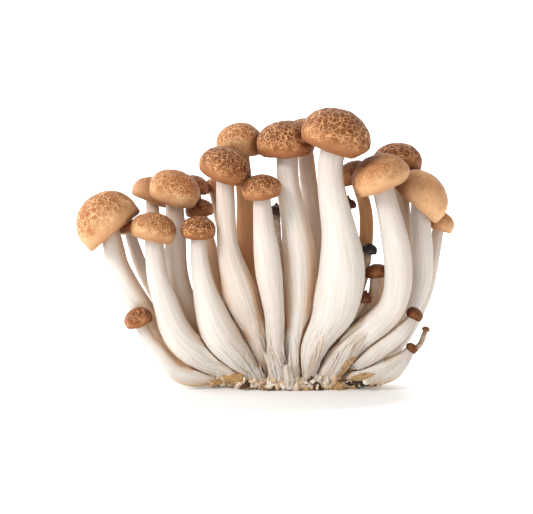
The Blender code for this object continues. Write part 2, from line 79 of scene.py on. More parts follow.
# The butt: half its length and depth, its height, and how square its shoulders are
BASE_HALF_LENGTH = 29.0
BASE_HALF_DEPTH = 13.0
BASE_HEIGHT = 5.5
BASE_SHOULDER = 2.6
BASE_FLAT = 0.93
BASE_TUCK = 1.0
BASE_COLUMNS = 260
BASE_RINGS = 44
BASE_WAVES = ((0.022, 7, 1.0), (0.016, 12, 0.0))  # its uneven outline: depth, waves and start
BASE_HOLLOW = 0.3  # how far its bare underside draws in

# Air between pressed pieces, by height: nothing near the butt, where the stems grow together
GAP_HEIGHTS = (0.0, 10.0, 30.0)
GAPS = (0.02, 0.10, 0.30)
NEAR = 2.0  # pieces further apart don't press each other
NEAR_STEP = 9  # every ninth point is tried for that
PRESS_STEPS = 12

# Under a cap's widest ring, depths are shares of its brim's depth. Its side falls to the margin,
# and from there its underside goes in to the lip: share of that way in, and depth.
SIDE_DEPTHS = (0.0, 0.3, 0.6, 0.85)
FULL_RIM = 0.92  # narrower margins carry narrower lips
UNDERSIDE = ((0.08, 0.985), (0.25, 1.03), (0.6, 1.02), (1.0, 0.95))
CAP_LIP = 0.70
LIP_EDGE = 0.95
LIP_VALLEY = 0.82
GILL_EDGE = 0.68
SEAT = 0.30
CAP_UNDER = 0.10
DOME_RINGS = 52
BRIM_RINGS = 20
GILL_RINGS = 12
GILL_BLADE = (1.0, 0.12, 0.0, 0.12)  # a gill's height over its four columns
GILL_COUNTS = ((7.9, 48), (5.0, 40), (0.0, 28))  # gills by a cap's least radius
GILL_SINK = 0.3  # how far the gills run into the stem
CAP_SHELTER = (4, 8)

# A cap's unevenness: depth as a share or in mm, and cell, for its outline, its margin's height and its dome
CAP_BENDS = ((0.028, 0.9), (0.012, 0.35))
CAP_WARP = (0.05, 0.6)
CAP_SWELLS = ((0.16, 4.0, 3), (0.05, 1.3, 2))  # and how many layers of noise
CAP_SHIFT = 31.0  # between one cap's net and the next one's

# The cells of a stem's grain, width and length: broad waves, folds, fine fibres, where folds are kept,
# lumps and wrinkles
STEM_GRAINS = ((2.4, 30.0), (1.0, 14.0), (0.42, 6.0), (2.4, 9.0), (2.2, 5.0), (0.6, 2.6))
FOLD_WIDTH = 0.20
WRINKLE_WIDTH = 0.4

# A stem's grid, as pressed and as drawn
ROUTE_STEPS = 84
PRESS_COLUMNS = 56
STEM_COLUMNS = 104
STEM_RINGS = 150
STEM_SINK = 0.8  # how far a stem's top runs into its cap
STEM_LOWEST = 0.15
NECK_TURN = 10
STEM_SHELTER = (5, 8)  # rings and columns from one sheltered point to the next
UNEVEN = 0.07  # how uneven a stem is in girth, as a share of its radius
UNEVEN_CELL = (5.0, 5.0, 13.0)
UNEVEN_SEED = 77
GRAIN_RADIUS = 3  # the radius at which a stem's grain is drawn
GRAIN_TWIST = 0.012  # radians for each mm upwards
GRAIN_SHIFT = 17.0  # between one stem's grain and the next one's
FOOT_SHARE = 0.55  # the share of a stem's run where its foot's folds end
FOLD_MOST = 0.4  # folds go in by this share of the radius at most

BUD_COLUMNS = 36
BUD_RINGS = 26
BUD_SHELTER = (3, 4)
BUD_TIP = 0.02
BUD_WRINKLES = (0.16, 0.9)  # depth and cell
BUD_MOST = 0.3
BUD_CAP = ((0.55, -0.45), (0.95, -0.32), (1.0, 0.05), (0.7, 0.55), (0.3, 0.75))

# Rays that measure how sheltered a place is: their number, length and start over the skin
SHELTER_RAYS = 24
SHELTER_REACH = 14.0
SHELTER_START = 0.9

# Where rays start that come from outside: from the front or the back, and all round for the crumbs
OUTSIDE = 80.0
CRUMB_OUTSIDE = 60.0

CRUMBS = 1500
CRUMB_LOWEST = 0.2
CRUMB_RISE = 4.6
CRUMB_FALL = (1.0, 2.2)  # how the draws crowd towards the floor
CRUMB_AIMS = (0.2, 0.7)  # where the rays aim, as shares of the butt's half length and depth
CRUMB_BUMPS = ((0.60, 3.7, 0.8, 61), (0.38, 1.9, 0.35, 62))  # depth, step between crumbs, cell and seed
CRUMB_SIZES = (0.22, 0.55)
CRUMB_CLUMPS = 0.25  # the share of them that are larger clumps
CRUMB_CLUMP = 2.1  # how much larger
CRUMB_SHAPES = (0.5, 1.6)
# Crumbs browner near the floor are dark soil bits and painted shade along the floor line
CRUMB_DARK = 1.4  # below this height crumbs are browner
CRUMB_TONES = (0.05, 0.32, 0.55, 0.95)
CRUMB_ODDS = (0.44, 0.33, 0.16, 0.07)
LATTICE = 32  # cells of noise before it repeats


def mushroom(cap, radius, lean, neck, stem, tall=0.78, brim=0.40, rim=0.92, skew=0.0, tuck=0.0):
    """cap: middle of its widest ring. lean: how far its axis leans in X and Y for each unit up.
    neck: the stem's radius under the cap. stem: x, y, z and radius from its root upwards.
    tall: the dome's height over its widest ring, and brim: its depth under that ring, in cap radii.
    rim: the radius of its margin in cap radii. skew: how much deeper its brim is towards +X.
    tuck: how much further in its margin stands towards +X, as a share of the rim."""
    return {
        "cap": cap, "radius": radius, "lean": lean, "neck": neck, "stem": stem,
        "tall": tall, "brim": brim, "rim": rim, "skew": skew, "tuck": tuck,
    }


MUSHROOMS = {
    "01": mushroom((-60.2, -4.6, 53.4), 10.5, (-0.80, 0.10), 2.9, [
        (-22, 0, 2, 2.8), (-28.5, -1.2, 4, 3.0), (-35.4, -2, 8, 3.3), (-41.5, -3, 14, 3.7),
        (-46.6, -3, 21, 3.9), (-51.3, -3.5, 28, 3.9), (-55, -4, 34.5, 3.8),
        (-57.5, -4.3, 40, 3.7), (-58.3, -4.5, 44.5, 3.5)], tall=0.92, brim=0.40, rim=0.98),
    "02": mushroom((-50.2, -11, 23), 4.6, (-0.35, -0.10), 2.1, [
        (-19, -6, 2.5, 2.4), (-28, -8, 3.5, 3.2), (-34, -9.5, 3.9, 3.4), (-38.2, -10, 5.6, 3.1),
        (-41.2, -10.3, 9, 2.6), (-43.8, -10.6, 12.4, 2.4), (-46.4, -10.8, 15.6, 2.3)]),
    "03": mushroom((-46.8, 13, 60.6), 6.7, (0.42, 0.12), 2.4, [
        (-21, 6.5, 2, 2.4), (-27, 8, 7, 2.7), (-34.3, 8.5, 13, 2.9), (-40.8, 9, 30, 2.9),
        (-45.7, 10.5, 44, 2.7)]),
    "04": mushroom((-38.8, 0, 63.2), 8.2, (0.32, -0.18), 2.7, [
        (-17.5, 0, 2, 2.6), (-22.5, 0, 7, 2.9), (-29.2, -1, 14, 3.3), (-34.7, -1, 24, 3.7),
        (-37.7, -1, 34, 3.7), (-38.6, 0, 47, 3.4)]),
    "05": mushroom((-45, -12, 52), 7.2, (0.20, -0.05), 2.9, [
        (-14, -8.5, 1.5, 3.0), (-19.4, -9.7, 5.4, 3.8), (-26, -10, 8.9, 4.6), (-32, -10.5, 12.2, 5.0),
        (-36.8, -11, 16.8, 4.9), (-39.2, -11, 21, 4.7), (-41.5, -11, 28, 4.1),
        (-43.8, -11.5, 36, 3.5)], tall=0.72, brim=0.42),
    "06": mushroom((-31, -11.5, 52), 5.6, (0.0, -0.15), 2.4, [
        (-10, -10.3, 1.2, 2.4), (-13, -10.7, 4.9, 2.9), (-16, -10.8, 8, 4.0), (-18.8, -11, 11, 5.0),
        (-21.9, -11.2, 14.6, 5.8), (-24.8, -11.2, 19.6, 6.0), (-27.4, -11, 27, 5.0), (-29, -11, 33, 3.9),
        (-30.2, -11, 40, 3.1)], tall=0.72),
    "07": mushroom((-54, 5, 50), 3.9, (-0.10, 0.20), 1.8, [
        (-24, 4, 2, 2.0), (-30, 3, 8, 2.2), (-37.5, 2.5, 15, 2.3), (-44.6, 3.5, 27, 2.3),
        (-50.1, 4, 38, 2.1)]),
    "08": mushroom((-33.6, 15.5, 62.3), 5.3, (0.05, 0.15), 2.4, [
        (-14.5, 8, 2, 2.4), (-18.5, 9, 7, 2.6), (-22.9, 10, 14, 2.9), (-27.1, 11, 27, 3.0),
        (-30.1, 13, 43, 2.7)]),
    "09": mushroom((-31, 7, 56), 4.5, (-0.10, 0.0), 1.9, [
        (-11.5, 2.5, 1.5, 2.2), (-14.6, 2.5, 8, 2.6), (-18.5, 2.5, 17, 3.1), (-22.4, 3, 26.5, 3.2),
        (-25.6, 3.5, 35, 2.9), (-27.5, 4.5, 43, 2.4)]),
    "10": mushroom((-22.3, -9, 71.2), 8.3, (0.36, -0.12), 2.9, [
        (-8, -6, 1.5, 2.5), (-9.2, -6.5, 6, 2.9), (-11, -7, 12, 3.4), (-12.4, -7.2, 16.5, 3.9),
        (-14.2, -7.3, 21, 4.6), (-16.7, -7.5, 27, 5.8), (-18, -7.7, 31.5, 5.9), (-19.4, -7.9, 36.5, 5.1),
        (-20.8, -8, 41.5, 4.3), (-21.8, -8.2, 47, 3.6), (-22.2, -8.4, 56, 3.2)], rim=0.88),
    "11": mushroom((-18, 6, 78), 7.6, (-0.12, 0.05), 2.7, [
        (-7, 1, 1.5, 2.4), (-8.5, 1, 9, 2.6), (-10.7, 1, 17, 2.9), (-14, 2, 30, 3.2),
        (-15.9, 3, 47, 3.1), (-16, 4, 60, 2.9)], tall=0.84, brim=0.60),
    "12": mushroom((-3, -3, 78.6), 9.2, (-0.06, -0.10), 3.4, [
        (-1.5, -9.3, 1.2, 3.3), (-1.2, -9, 5.5, 3.8), (0, -7.5, 14, 4.5), (0.9, -6, 22, 4.9),
        (1.4, -5.3, 29, 5.2), (1.3, -5, 37, 5.4), (1, -5, 45, 5.3), (-0.4, -5, 54, 4.6),
        (-2, -4.5, 62, 3.9)], tall=0.78, brim=0.34),
    "13": mushroom((-11, -13, 65), 6.3, (-0.05, -0.10), 2.7, [
        (-5.8, -10.7, 1.2, 2.7), (-6.1, -11, 5.5, 3.1), (-6.4, -11.3, 15, 3.2), (-6.7, -11.3, 23, 3.4),
        (-7.4, -12, 30, 3.8), (-8.4, -12, 37, 4.3), (-9.2, -12.5, 44, 4.2),
        (-10.1, -12.8, 52, 3.5)], tall=0.71),
    "14": mushroom((3, 14, 80), 6.7, (-0.10, 0.12), 2.6, [
        (1.5, 2, 1.5, 2.3), (2.3, 2.5, 14, 2.7), (5.6, 4, 30, 3.2), (6.6, 7, 46, 3.2), (5, 10, 60, 2.9)]),
    "15": mushroom((12.4, -14.2, 81.1), 11.0, (0.32, 0.0), 3.9, [
        (3.2, -9.3, 1.2, 2.6), (3.7, -9.6, 5.5, 2.9), (4.9, -10.2, 10.5, 4.1), (7, -10.6, 16, 5.1),
        (9.6, -10.8, 20.5, 5.7),
        (12, -11, 25, 6.8), (13.6, -11, 31, 7.5), (14.5, -11, 37, 7.7), (14.6, -11, 43, 7.2),
        (13.9, -11.5, 50, 6.1), (12.5, -12, 58, 5.1), (11.4, -12.5, 65, 4.5), (10.9, -13, 72, 4.2)],
        tall=0.86, brim=0.37, rim=0.76, skew=0.10, tuck=0.13),
    "16": mushroom((19.5, 4, 68), 5.6, (-0.25, 0.05), 2.0, [
        (10.5, 4, 1.5, 2.0), (12, 3.5, 8, 2.1), (15.5, 2.5, 18, 2.3), (20, 1.5, 31, 2.3),
        (22.5, 1, 43, 2.3), (22.8, 2, 56, 2.2)], brim=0.52),
    "17": mushroom((26.8, -11, 68.2), 9.5, (-0.42, -0.10), 3.1, [
        (9.3, -8.5, 1.2, 3.3), (11, -8.8, 5.5, 4.3), (15.4, -8.8, 11.7, 4.7), (20.6, -9, 16.8, 4.8),
        (25.6, -10.2, 20.8, 4.9), (29.8, -10.7, 25, 4.8), (32.2, -11, 31, 4.7), (32.9, -11, 37, 4.7),
        (32.4, -11, 44, 4.6), (31, -11, 51, 4.2)], tall=0.80, brim=0.30, rim=0.88, tuck=0.05),
    "18": mushroom((33.2, 12, 71), 8.2, (-0.10, 0.15), 2.8, [
        (16.5, 6.5, 1.5, 2.4), (20.5, 7, 7, 2.5), (25.3, 6.5, 14, 2.7), (31.7, 6.5, 28, 3.2),
        (35, 8, 44, 3.1)]),
    "19": mushroom((40.3, 0.2, 60.9), 9.5, (0.85, 0.08), 3.2, [
        (16.5, -0.5, 2, 2.4), (19.5, 0, 6, 2.7), (25, 1, 10.5, 3.0), (32.6, 1, 16.5, 3.3),
        (38, 1, 25, 3.2), (41, 1, 34, 3.3), (41.1, 0.5, 43, 3.6), (40.6, 0.3, 51, 3.5)],
        tall=0.85, brim=0.35, rim=0.97),
    "20": mushroom((47.3, 10.5, 51.2), 5.0, (0.35, 0.0), 1.9, [
        (21, 7, 2, 1.7), (27, 7.5, 6, 1.9), (34, 7.5, 11, 2.1), (39.4, 8, 20, 2.3),
        (42.8, 8.5, 29, 2.4), (44.9, 9.3, 38, 2.3)]),
    "21": mushroom((26, -5, 37.6), 3.8, (-0.10, -0.10), 1.9, [
        (14, 1, 1.5, 2.0), (15, -0.4, 7, 2.5), (17.8, -2.8, 14, 2.9), (21.6, -4.2, 22, 3.0),
        (25.2, -4.0, 29, 2.1)], tall=0.60),
    "22": mushroom((38.2, -10, 24.2), 2.8, (0.55, -0.10), 1.5, [
        (16, -3.5, 2, 2.1), (18.5, -6.8, 5.6, 2.4), (22.2, -11.2, 9.3, 2.4), (27.9, -12.8, 13.8, 2.6),
        (33, -12.3, 18, 2.5)]),
    "23": mushroom((37.2, -11, 13.4), 2.0, (0.80, -0.10), 1.2, [
        (15.5, -7.5, 1.5, 2.6), (19, -9.3, 3.2, 3.0), (23, -10.4, 4.3, 3.5), (27, -11, 5.4, 3.9),
        (31, -11.2, 7, 3.8), (34.3, -11, 9.9, 2.7)]),
    "24": mushroom((9, 19, 49), 6.2, (0.05, 0.25), 2.4, [
        (3.5, 8, 1.5, 2.4), (5.1, 9, 14, 2.7), (7.7, 12, 26, 3.0)]),
    "25": mushroom((-26.6, 20.5, 61.6), 4.0, (-0.05, 0.25), 1.9, [
        (-9.5, 8, 1.5, 2.2), (-12.5, 10, 13, 2.4), (-17.5, 13.5, 29, 2.5), (-23, 17.5, 46, 2.3)]),
    "26": mushroom((35, 19, 42), 5.4, (0.20, 0.25), 2.2, [
        (10, 8.5, 1.5, 2.2), (15.5, 10.5, 11, 2.5), (25, 13.5, 22, 2.7)]),
}

# Dried buds: stem and cap in one, brown all over
BUDS = {
    "01": mushroom((17, -2, 58.6), 2.7, (0.0, 0.0), 1.0, [
        (7, -2.5, 1.5, 1.2), (9.7, -2.5, 11, 1.2), (16.2, -1, 28, 1.1), (18.4, -1, 42, 1.1)], tall=1.3),
    "02": mushroom((23.8, -5.5, 44.6), 2.6, (0.30, -0.10), 1.3, [
        (10, -1, 1.5, 1.4), (12, -1.5, 12, 1.4), (18.4, -2, 24, 1.4), (22.2, -2.5, 35, 1.4)]),
    "03": mushroom((21.9, -8.4, 29.4), 2.7, (0.30, -0.10), 1.3, [
        (11.5, -3.5, 1.5, 1.3), (12.5, -3.8, 8, 1.3), (14.1, -5.2, 13, 1.3), (17.9, -7.1, 21, 1.3)],
        tall=1.1),
    "04": mushroom((42.3, -3, 18.2), 1.4, (0.30, 0.0), 0.9, [
        (20, -3, 2, 1.1), (24, -2.8, 5, 1.1), (29.2, -2.6, 7.6, 1.1), (35.6, -3, 9.4, 1.1),
        (40.2, -3, 13, 1.0)]),
    "05": mushroom((-6, 3, 56), 2.8, (0.0, 0.05), 1.3, [
        (-3.5, -0.5, 1.5, 1.3), (-4.5, -0.5, 14, 1.4), (-5.8, 1, 28, 1.4), (-5.6, 2, 42, 1.4)], tall=1.1),
}

# How each cap looks: tone from pale tan 0 to dark brown 1, strength of its net, and its net's cell size
CAP_LOOKS = {
    "01": (0.46, 0.85, 1.7), "02": (0.92, 0.65, 1.2), "03": (0.62, 0.40, 1.4), "04": (0.44, 0.80, 1.3),
    "05": (0.56, 0.85, 1.3), "06": (0.94, 0.90, 1.4), "07": (0.74, 0.40, 1.2), "08": (0.95, 0.50, 1.3),
    "09": (0.88, 0.60, 1.2), "10": (0.92, 0.90, 1.5), "11": (0.50, 0.90, 1.5), "12": (0.94, 0.90, 1.6),
    "13": (0.88, 0.80, 1.4), "14": (0.70, 0.60, 1.5), "15": (0.88, 0.90, 1.9), "16": (0.92, 0.45, 1.3),
    "17": (0.36, 0.46, 1.0), "18": (0.93, 0.80, 1.7), "19": (0.26, 0.32, 1.2), "20": (0.38, 0.35, 1.2),
    "21": (0.92, 0.30, 1.2), "22": (1.00, 0.35, 1.0), "23": (1.00, 0.20, 0.9), "24": (0.70, 0.60, 1.4),
    "25": (0.78, 0.70, 1.4), "26": (0.62, 0.50, 1.4),
}

# How much brown painted shade a stem's skin gets: the ones behind and the small ones
STEM_SHADE_BROWNS = {
    "03": 0.34, "04": 0.24, "07": 0.20, "08": 0.85, "09": 1.00, "10": 0.20, "11": 1.25, "13": 0.10,
    "14": 0.45, "16": 1.25, "18": 0.40, "20": 0.12, "21": 0.22, "24": 0.80, "25": 0.80, "26": 0.70,
}

# How much brown painted shade a stem's side towards +X gets, away from the light
SIDE_SHADE_BROWNS = {
    "01": 0.80, "02": 0.60, "04": 0.55, "05": 0.18, "06": 0.30, "10": 0.34, "12": 0.50, "14": 1.10,
    "17": 0.20,
}

# The colour of each bud's cap
BUD_COLOURS = {
    "01": (0.050, 0.013, 0.006), "02": (0.011, 0.006, 0.008), "03": (0.100, 0.022, 0.006),
    "04": (0.190, 0.095, 0.040), "05": (0.030, 0.012, 0.007),
}

# Flakes of husk on the feet, and one near-black sheet of painted shadow under the right flake: middle in X
# and Z, half length and half height, turn in degrees, and colour
FLAKES = {
    "left": ((-20.6, 3.3), (5.2, 2.5), 9.0, (0.60, 0.38, 0.16)),
    "right": ((16.2, 7.2), (4.9, 1.9), 52.0, (0.62, 0.40, 0.19)),
    "low": ((21.2, 4.6), (4.0, 1.0), 14.0, (0.50, 0.33, 0.16)),
    # Painted shadow: a near-black sheet in the dark gap under the right flake
    "painted_shadow": ((19.8, 2.0), (4.2, 1.3), 4.0, (0.030, 0.011, 0.005)),
}
FLAKE_COLUMNS = 72
FLAKE_RINGS = 16
FLAKE_THICKNESS = 0.25
FLAKE_RAGS = ((0.16, 3), (0.12, 8))  # its ragged edge: depth, and how many rags
FLAKE_LIFT = 0.25
FLAKE_BULGE = 0.30
FLAKE_FIBRES = 0.14
FLAKE_FIBRE_CELL = (2.5, 0.35, 1.0)
FLAKE_SMOOTHINGS = 6

# A pale stub of a mushroom that never grew, a loose fibre, and a thin stem squeezed between its
# neighbours, brown with painted shade: x, y, z and radius along each, how lumpy it is, and how brown
STRANDS = {
    "stub": (((-1.6, -12.4, 0.9, 1.7), (-2.0, -12.9, 3.4, 1.9), (-2.7, -12.8, 6.4, 1.6),
              (-3.2, -12.4, 8.6, 1.0)), 0.34, 0.0),
    "fibre": (((14.0, -16.3, 13.6, 0.13), (16.3, -16.4, 11.2, 0.14), (18.6, -15.6, 8.9, 0.13),
               (20.6, -14.6, 7.6, 0.10)), 0.10, 0.0),
    "squeezed": (((-4.0, -6.0, 3.0, 0.9), (-4.0, -5.0, 20.0, 0.9), (-3.9, -4.5, 36.0, 0.8),
                  (-3.9, -4.0, 51.0, 0.6)), 0.10, 1.0),
}
STRAND_COLUMNS = 40
STRAND_RINGS = 60
STRAND_TIP = 0.86  # the share of its run from which a strand closes to a round tip
STRAND_END = 1.0002  # just past its end, so that its last ring has a width
STRAND_SHELTER = 0.12
STRAND_SHARE = 0.1

# Fine ridges of grown-together tissue that fan out from the butt over the feet
RIDGES = 300
RIDGE_RINGS = 26
RIDGE_COLUMNS = 8
RIDGE_FAN = 17.0  # a ridge's slant: its X over this many mm
RIDGE_STARTS = (-23.0, 23.0)
RIDGE_LOWS = (0.8, 5.0)
RIDGE_RISES = (3.0, 15.0)
RIDGE_RADII = (0.16, 0.46)
RIDGE_WANDER = (0.35, 2.6)  # how far sideways, and over what height
RIDGE_LEAST_Y = 2.0
RIDGE_MOST_STEP = 1.6  # a line that jumps further in depth crosses a gap
RIDGE_SMOOTHINGS = 4
RIDGE_LIFT = 0.10  # towards the outside, as a share of its radius
RIDGE_SHELTER = 0.16
RIDGE_SHARE = 0.12
RIDGE_BROWNS = (0.0, 0.12, 0.50)
RIDGE_ODDS = (0.55, 0.25, 0.2)


def unit(vector):
    """The vector at length one, or a stack of them."""
    vector = np.asarray(vector, float)
    return vector / np.linalg.norm(vector, axis=-1, keepdims=True)


def lean_axis(plan):
    """The way a cap's top points."""
    return unit((*plan["lean"], 1.0))


def axis_frame(axis):
    """Two directions square to the axis and to each other, or to each of a stack of axes."""
    side = unit(np.cross((0.0, 1.0, 0.0), axis))
    return side, np.cross(axis, side)


def turns(columns):
    """The angles of a ring's columns."""
    return 2 * math.pi * np.arange(columns) / columns


def flat_ways(angles):
    """The directions at some angles in a plane."""
    return np.stack([np.cos(angles), np.sin(angles), np.zeros(len(angles))], axis=1)


def ring_ways(sides, fronts, columns):
    """The directions from the middle of a ring, or of each ring in a stack, to its columns."""
    angles = turns(columns)[:, None]
    return np.cos(angles) * sides[..., None, :] + np.sin(angles) * fronts[..., None, :]


def steps_along(points):
    """The distances between the points of a line."""
    return np.linalg.norm(np.diff(points[:, :3], axis=0), axis=1)


def run_along(points):
    """How far along a line each of its points is."""
    return np.concatenate(([0.0], np.cumsum(steps_along(points))))


def smooth_route(points, steps):
    """Even steps along a smooth curve through the points: x, y, z and radius."""
    points = np.asarray(points, float)
    spans, knots = steps_along(points), run_along(points)
    slopes = np.gradient(points, knots, axis=0)
    fine = np.linspace(0.0, knots[-1], 8 * steps)
    span = np.clip(np.searchsorted(knots, fine, side="right") - 1, 0, len(spans) - 1)
    width = spans[span][:, None]
    share = ((fine - knots[span]) / spans[span])[:, None]
    curve = (
        (2 * share**3 - 3 * share**2 + 1) * points[span]
        + (share**3 - 2 * share**2 + share) * (slopes[span] * width)
        + (3 * share**2 - 2 * share**3) * points[span + 1]
        + (share**3 - share**2) * (slopes[span + 1] * width)
    )
    run = run_along(curve)
    even = np.linspace(0.0, run[-1], steps)
    return np.stack([np.interp(even, run, curve[:, i]) for i in range(4)], axis=1)


def stem_route(plan, seat, sink):
    """The stem's middle line and radius, from its root in the butt to the seat, given in cap radii down."""
    top = np.array(plan["cap"], float) - lean_axis(plan) * (seat * plan["radius"] - sink)
    return smooth_route([*plan["stem"], (*top, plan["neck"])], ROUTE_STEPS)


ROUTES = {name: stem_route(plan, SEAT * plan["brim"], STEM_SINK) for name, plan in MUSHROOMS.items()}
BUD_ROUTES = {name: stem_route(plan, -BUD_CAP[0][1], 0.0) for name, plan in BUDS.items()}


def tube_distance(points, route):
    """How far each point is outside the stem along the route, below zero inside."""
    apart = np.linalg.norm(points[:, None, :] - route[None, :, :3], axis=2)
    return (apart - route[None, :, 3]).min(axis=1)


def cap_distance(points, plan):
    """How far each point is outside the cap's dome, towards its middle, below zero inside."""
    away = points - np.array(plan["cap"], float)
    height = away @ lean_axis(plan)
    across = np.sqrt(np.maximum((away**2).sum(axis=1) - height**2, 0.0))
    tall = np.where(height > 0.0, plan["tall"], plan["brim"] + CAP_UNDER)
    share = np.hypot(across, height / tall) / plan["radius"]
    reach = np.linalg.norm(away, axis=1)
    return np.where(share > 1e-6, reach * (1.0 - 1.0 / np.maximum(share, 1e-6)), -plan["radius"])


def neighbours(own, points):
    """The distance functions of everything near the points but the mushroom or bud itself."""
    found = []
    for kind, plans, routes in (("mushroom", MUSHROOMS, ROUTES), ("bud", BUDS, BUD_ROUTES)):
        for name, plan in plans.items():
            if (kind, name) != own:
                found.append(lambda points, route=routes[name]: tube_distance(points, route))
                found.append(lambda points, plan=plan: cap_distance(points, plan))
    return [other for other in found if other(points[::NEAR_STEP]).min() < NEAR]


def press(grid, cores, own, own_distance):
    """Moves each point towards its core until its own piece is nearer than any neighbour, by the gap.
    Pieces that crowd each other then meet in a flat with the gap between them."""
    points = grid.reshape(-1, 3)
    others = neighbours(own, points)
    if not others:
        return grid

    def free(trial):
        gap = np.interp(trial[:, 2], GAP_HEIGHTS, GAPS)
        room = np.min([other(trial) for other in others], axis=0)
        return room - own_distance(trial) >= gap

    held = np.nonzero(~free(points))[0]
    start, way = points[held], cores.reshape(-1, 3)[held] - points[held]
    low, high = np.zeros(len(held)), np.ones(len(held))
    for _ in range(PRESS_STEPS if len(held) else 0):
        middle = (low + high) / 2
        fits = free(start + way * middle[:, None])
        high = np.where(fits, middle, high)
        low = np.where(fits, low, middle)
    pressed = points.copy()
    pressed[held] = start + way * high[:, None]
    return pressed.reshape(grid.shape)


def sink(points, cores, depth, most):
    """Moves points towards their cores by a depth, or by the most that is allowed, a share of the way."""
    inward = cores - points
    reach = np.linalg.norm(inward, axis=-1, keepdims=True)
    return points + inward / np.maximum(reach, 1e-6) * np.minimum(depth[..., None], most * reach)


LATTICES = {}


def noise(points, cell, seed):
    """Smooth noise between -1 and 1 with cells of the given size, which may differ by axis."""
    if seed not in LATTICES:
        LATTICES[seed] = np.random.default_rng(seed).uniform(-1.0, 1.0, (LATTICE, LATTICE, LATTICE))
    scaled = np.asarray(points, float) / cell
    whole = np.floor(scaled).astype(int)
    share = scaled - whole
    share = share * share * (3 - 2 * share)
    total = np.zeros(len(scaled))
    for corner in itertools.product((0, 1), repeat=3):
        x, y, z = ((whole + corner) % LATTICE).T
        total += np.prod(np.where(corner, share, 1 - share), axis=1) * LATTICES[seed][x, y, z]
    return total


def rough_noise(points, cell, seed, octaves=3):
    """Noise with finer and weaker noise over it."""
    return sum(noise(points, cell / 2**i, seed + i) / 2**i for i in range(octaves))


def new_mesh(name, vertices, faces, material, attributes=None):
    """A smooth mesh object from millimetres, with number or vector attributes on its points."""
    mesh = bpy.data.meshes.new(name)
    mesh.from_pydata((np.asarray(vertices) * MM).tolist(), [], faces)
    mesh.shade_smooth()
    for title, values in (attributes or {}).items():
        values = np.asarray(values, np.float32)
        kind, key = ("FLOAT_VECTOR", "vector") if values.ndim == 2 else ("FLOAT", "value")
        mesh.attributes.new(title, kind, "POINT").data.foreach_set(key, values.ravel())
    mesh.materials.append(material)
    piece = bpy.data.objects.new(name, mesh)
    bpy.context.scene.collection.objects.link(piece)
    return piece


def tube_faces(rings, columns, top, bottom=None, first=0):
    """Quads between rings that follow each other, the last ring closed by triangles to the point top and
    the first one to the point bottom. They face out when rings climb and columns turn left."""
    faces = []
    for low in range(first, first + (rings - 1) * columns, columns):
        for i in range(columns):
            j = (i + 1) % columns
            faces.append((low + i, low + j, low + columns + j, low + columns + i))
    last = first + (rings - 1) * columns
    faces += [(last + i, last + (i + 1) % columns, top) for i in range(columns)]
    if bottom is not None:
        faces += [(first + (i + 1) % columns, first + i, bottom) for i in range(columns)]
    return faces


def shelter_tree():
    """The CAD solids and the floor as one tree for rays."""
    vertices, faces = [], []
    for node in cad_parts.values():
        first = len(vertices)
        vertices += [v.co.copy() for v in node.data.vertices]
        faces += [tuple(first + i for i in p.vertices) for p in node.data.polygons]
    floor = len(vertices)
    vertices += [Vector((x, y, 0.0)) for x, y in ((-1, -1), (1, -1), (1, 1), (-1, 1))]
    faces.append((floor, floor + 1, floor + 2, floor + 3))
    return BVHTree.FromPolygons(vertices, faces)


def ray_ways():
    """Even directions over a half sphere round +Z, more of them near its top."""
    golden_turn = math.pi * (3 - math.sqrt(5))
    ways = []
    for i in range(SHELTER_RAYS):
        height = math.sqrt((i + 0.5) / SHELTER_RAYS)
        across = math.sqrt(1 - height * height)
        ways.append((across * math.cos(i * golden_turn), across * math.sin(i * golden_turn), height))
    return np.array(ways)


SHELTER_TREE = shelter_tree()
RAY_WAYS = ray_ways()
SIDE_AND_UP = np.array(((1.0, 0.0, 0.0), (0.0, 0.0, 1.0)))  # for a normal along Y, which has no frame


def shelter(points, normals):
    """How far each point lies sheltered among its neighbours: 0 in the open, 1 deep in a gap."""
    hidden = np.zeros(len(points))
    reach = SHELTER_REACH * MM
    for number, (point, normal) in enumerate(zip(points, normals)):
        side, front = axis_frame(normal) if abs(normal[1]) < 0.99 else SIDE_AND_UP
        start = Vector((point + normal * SHELTER_START) * MM)
        for way in map(Vector, RAY_WAYS @ np.stack([side, front, normal])):
            _, facing, _, away = SHELTER_TREE.ray_cast(start, way, reach)
            if away is not None and facing.dot(way) < 0.0:
                hidden[number] += 1 - away / reach
    return hidden / SHELTER_RAYS


def grid_normals(grid):
    """Outward normals of a grid of points, ring by ring, whose rings close."""
    around = np.roll(grid, -1, axis=1) - np.roll(grid, 1, axis=1)
    normals = np.cross(around, np.gradient(grid, axis=0))
    return normals / np.maximum(np.linalg.norm(normals, axis=2, keepdims=True), 1e-9)


def grid_shelter(grid, ring_step, column_step):
    """The shelter of a grid's points, worked out on some of them and spread between them."""
    count, around = grid.shape[:2]
    rings = sorted({*range(0, count, ring_step), count - 1})
    columns = list(range(0, around, column_step))
    few, ways = (values[rings][:, columns].reshape(-1, 3) for values in (grid, grid_normals(grid)))
    coarse = shelter(few, ways).reshape(len(rings), len(columns))
    along = np.stack([np.interp(range(count), rings, column) for column in coarse.T], axis=1)
    closed = np.concatenate([along, along[:, :1]], axis=1)
    return np.stack([np.interp(range(around), [*columns, around], ring) for ring in closed])


def skin_columns(route, axis, columns):
    """The stem's round skin and its middle line, both by step and column. The top turns square to the cap."""
    middle = route[:, :3]
    steps = len(route)
    turned = np.clip((np.arange(steps) - steps + 1 + NECK_TURN) / NECK_TURN, 0.0, 1.0)[:, None]
    tangents = unit(unit(np.gradient(middle, axis=0)) * (1 - turned) + axis * turned)
    around = ring_ways(*axis_frame(tangents), columns)
    radii = route[:, 3].copy()
    radii[0] = 0.0
    places = (middle[:, None, :] + GRAIN_RADIUS * around).reshape(-1, 3)
    girth = 1 + UNEVEN * noise(places, UNEVEN_CELL, UNEVEN_SEED).reshape(steps, columns)
    skin = middle[:, None, :] + around * (radii[:, None] * girth)[:, :, None]
    return skin, np.repeat(middle[:, None, :], columns, axis=1)


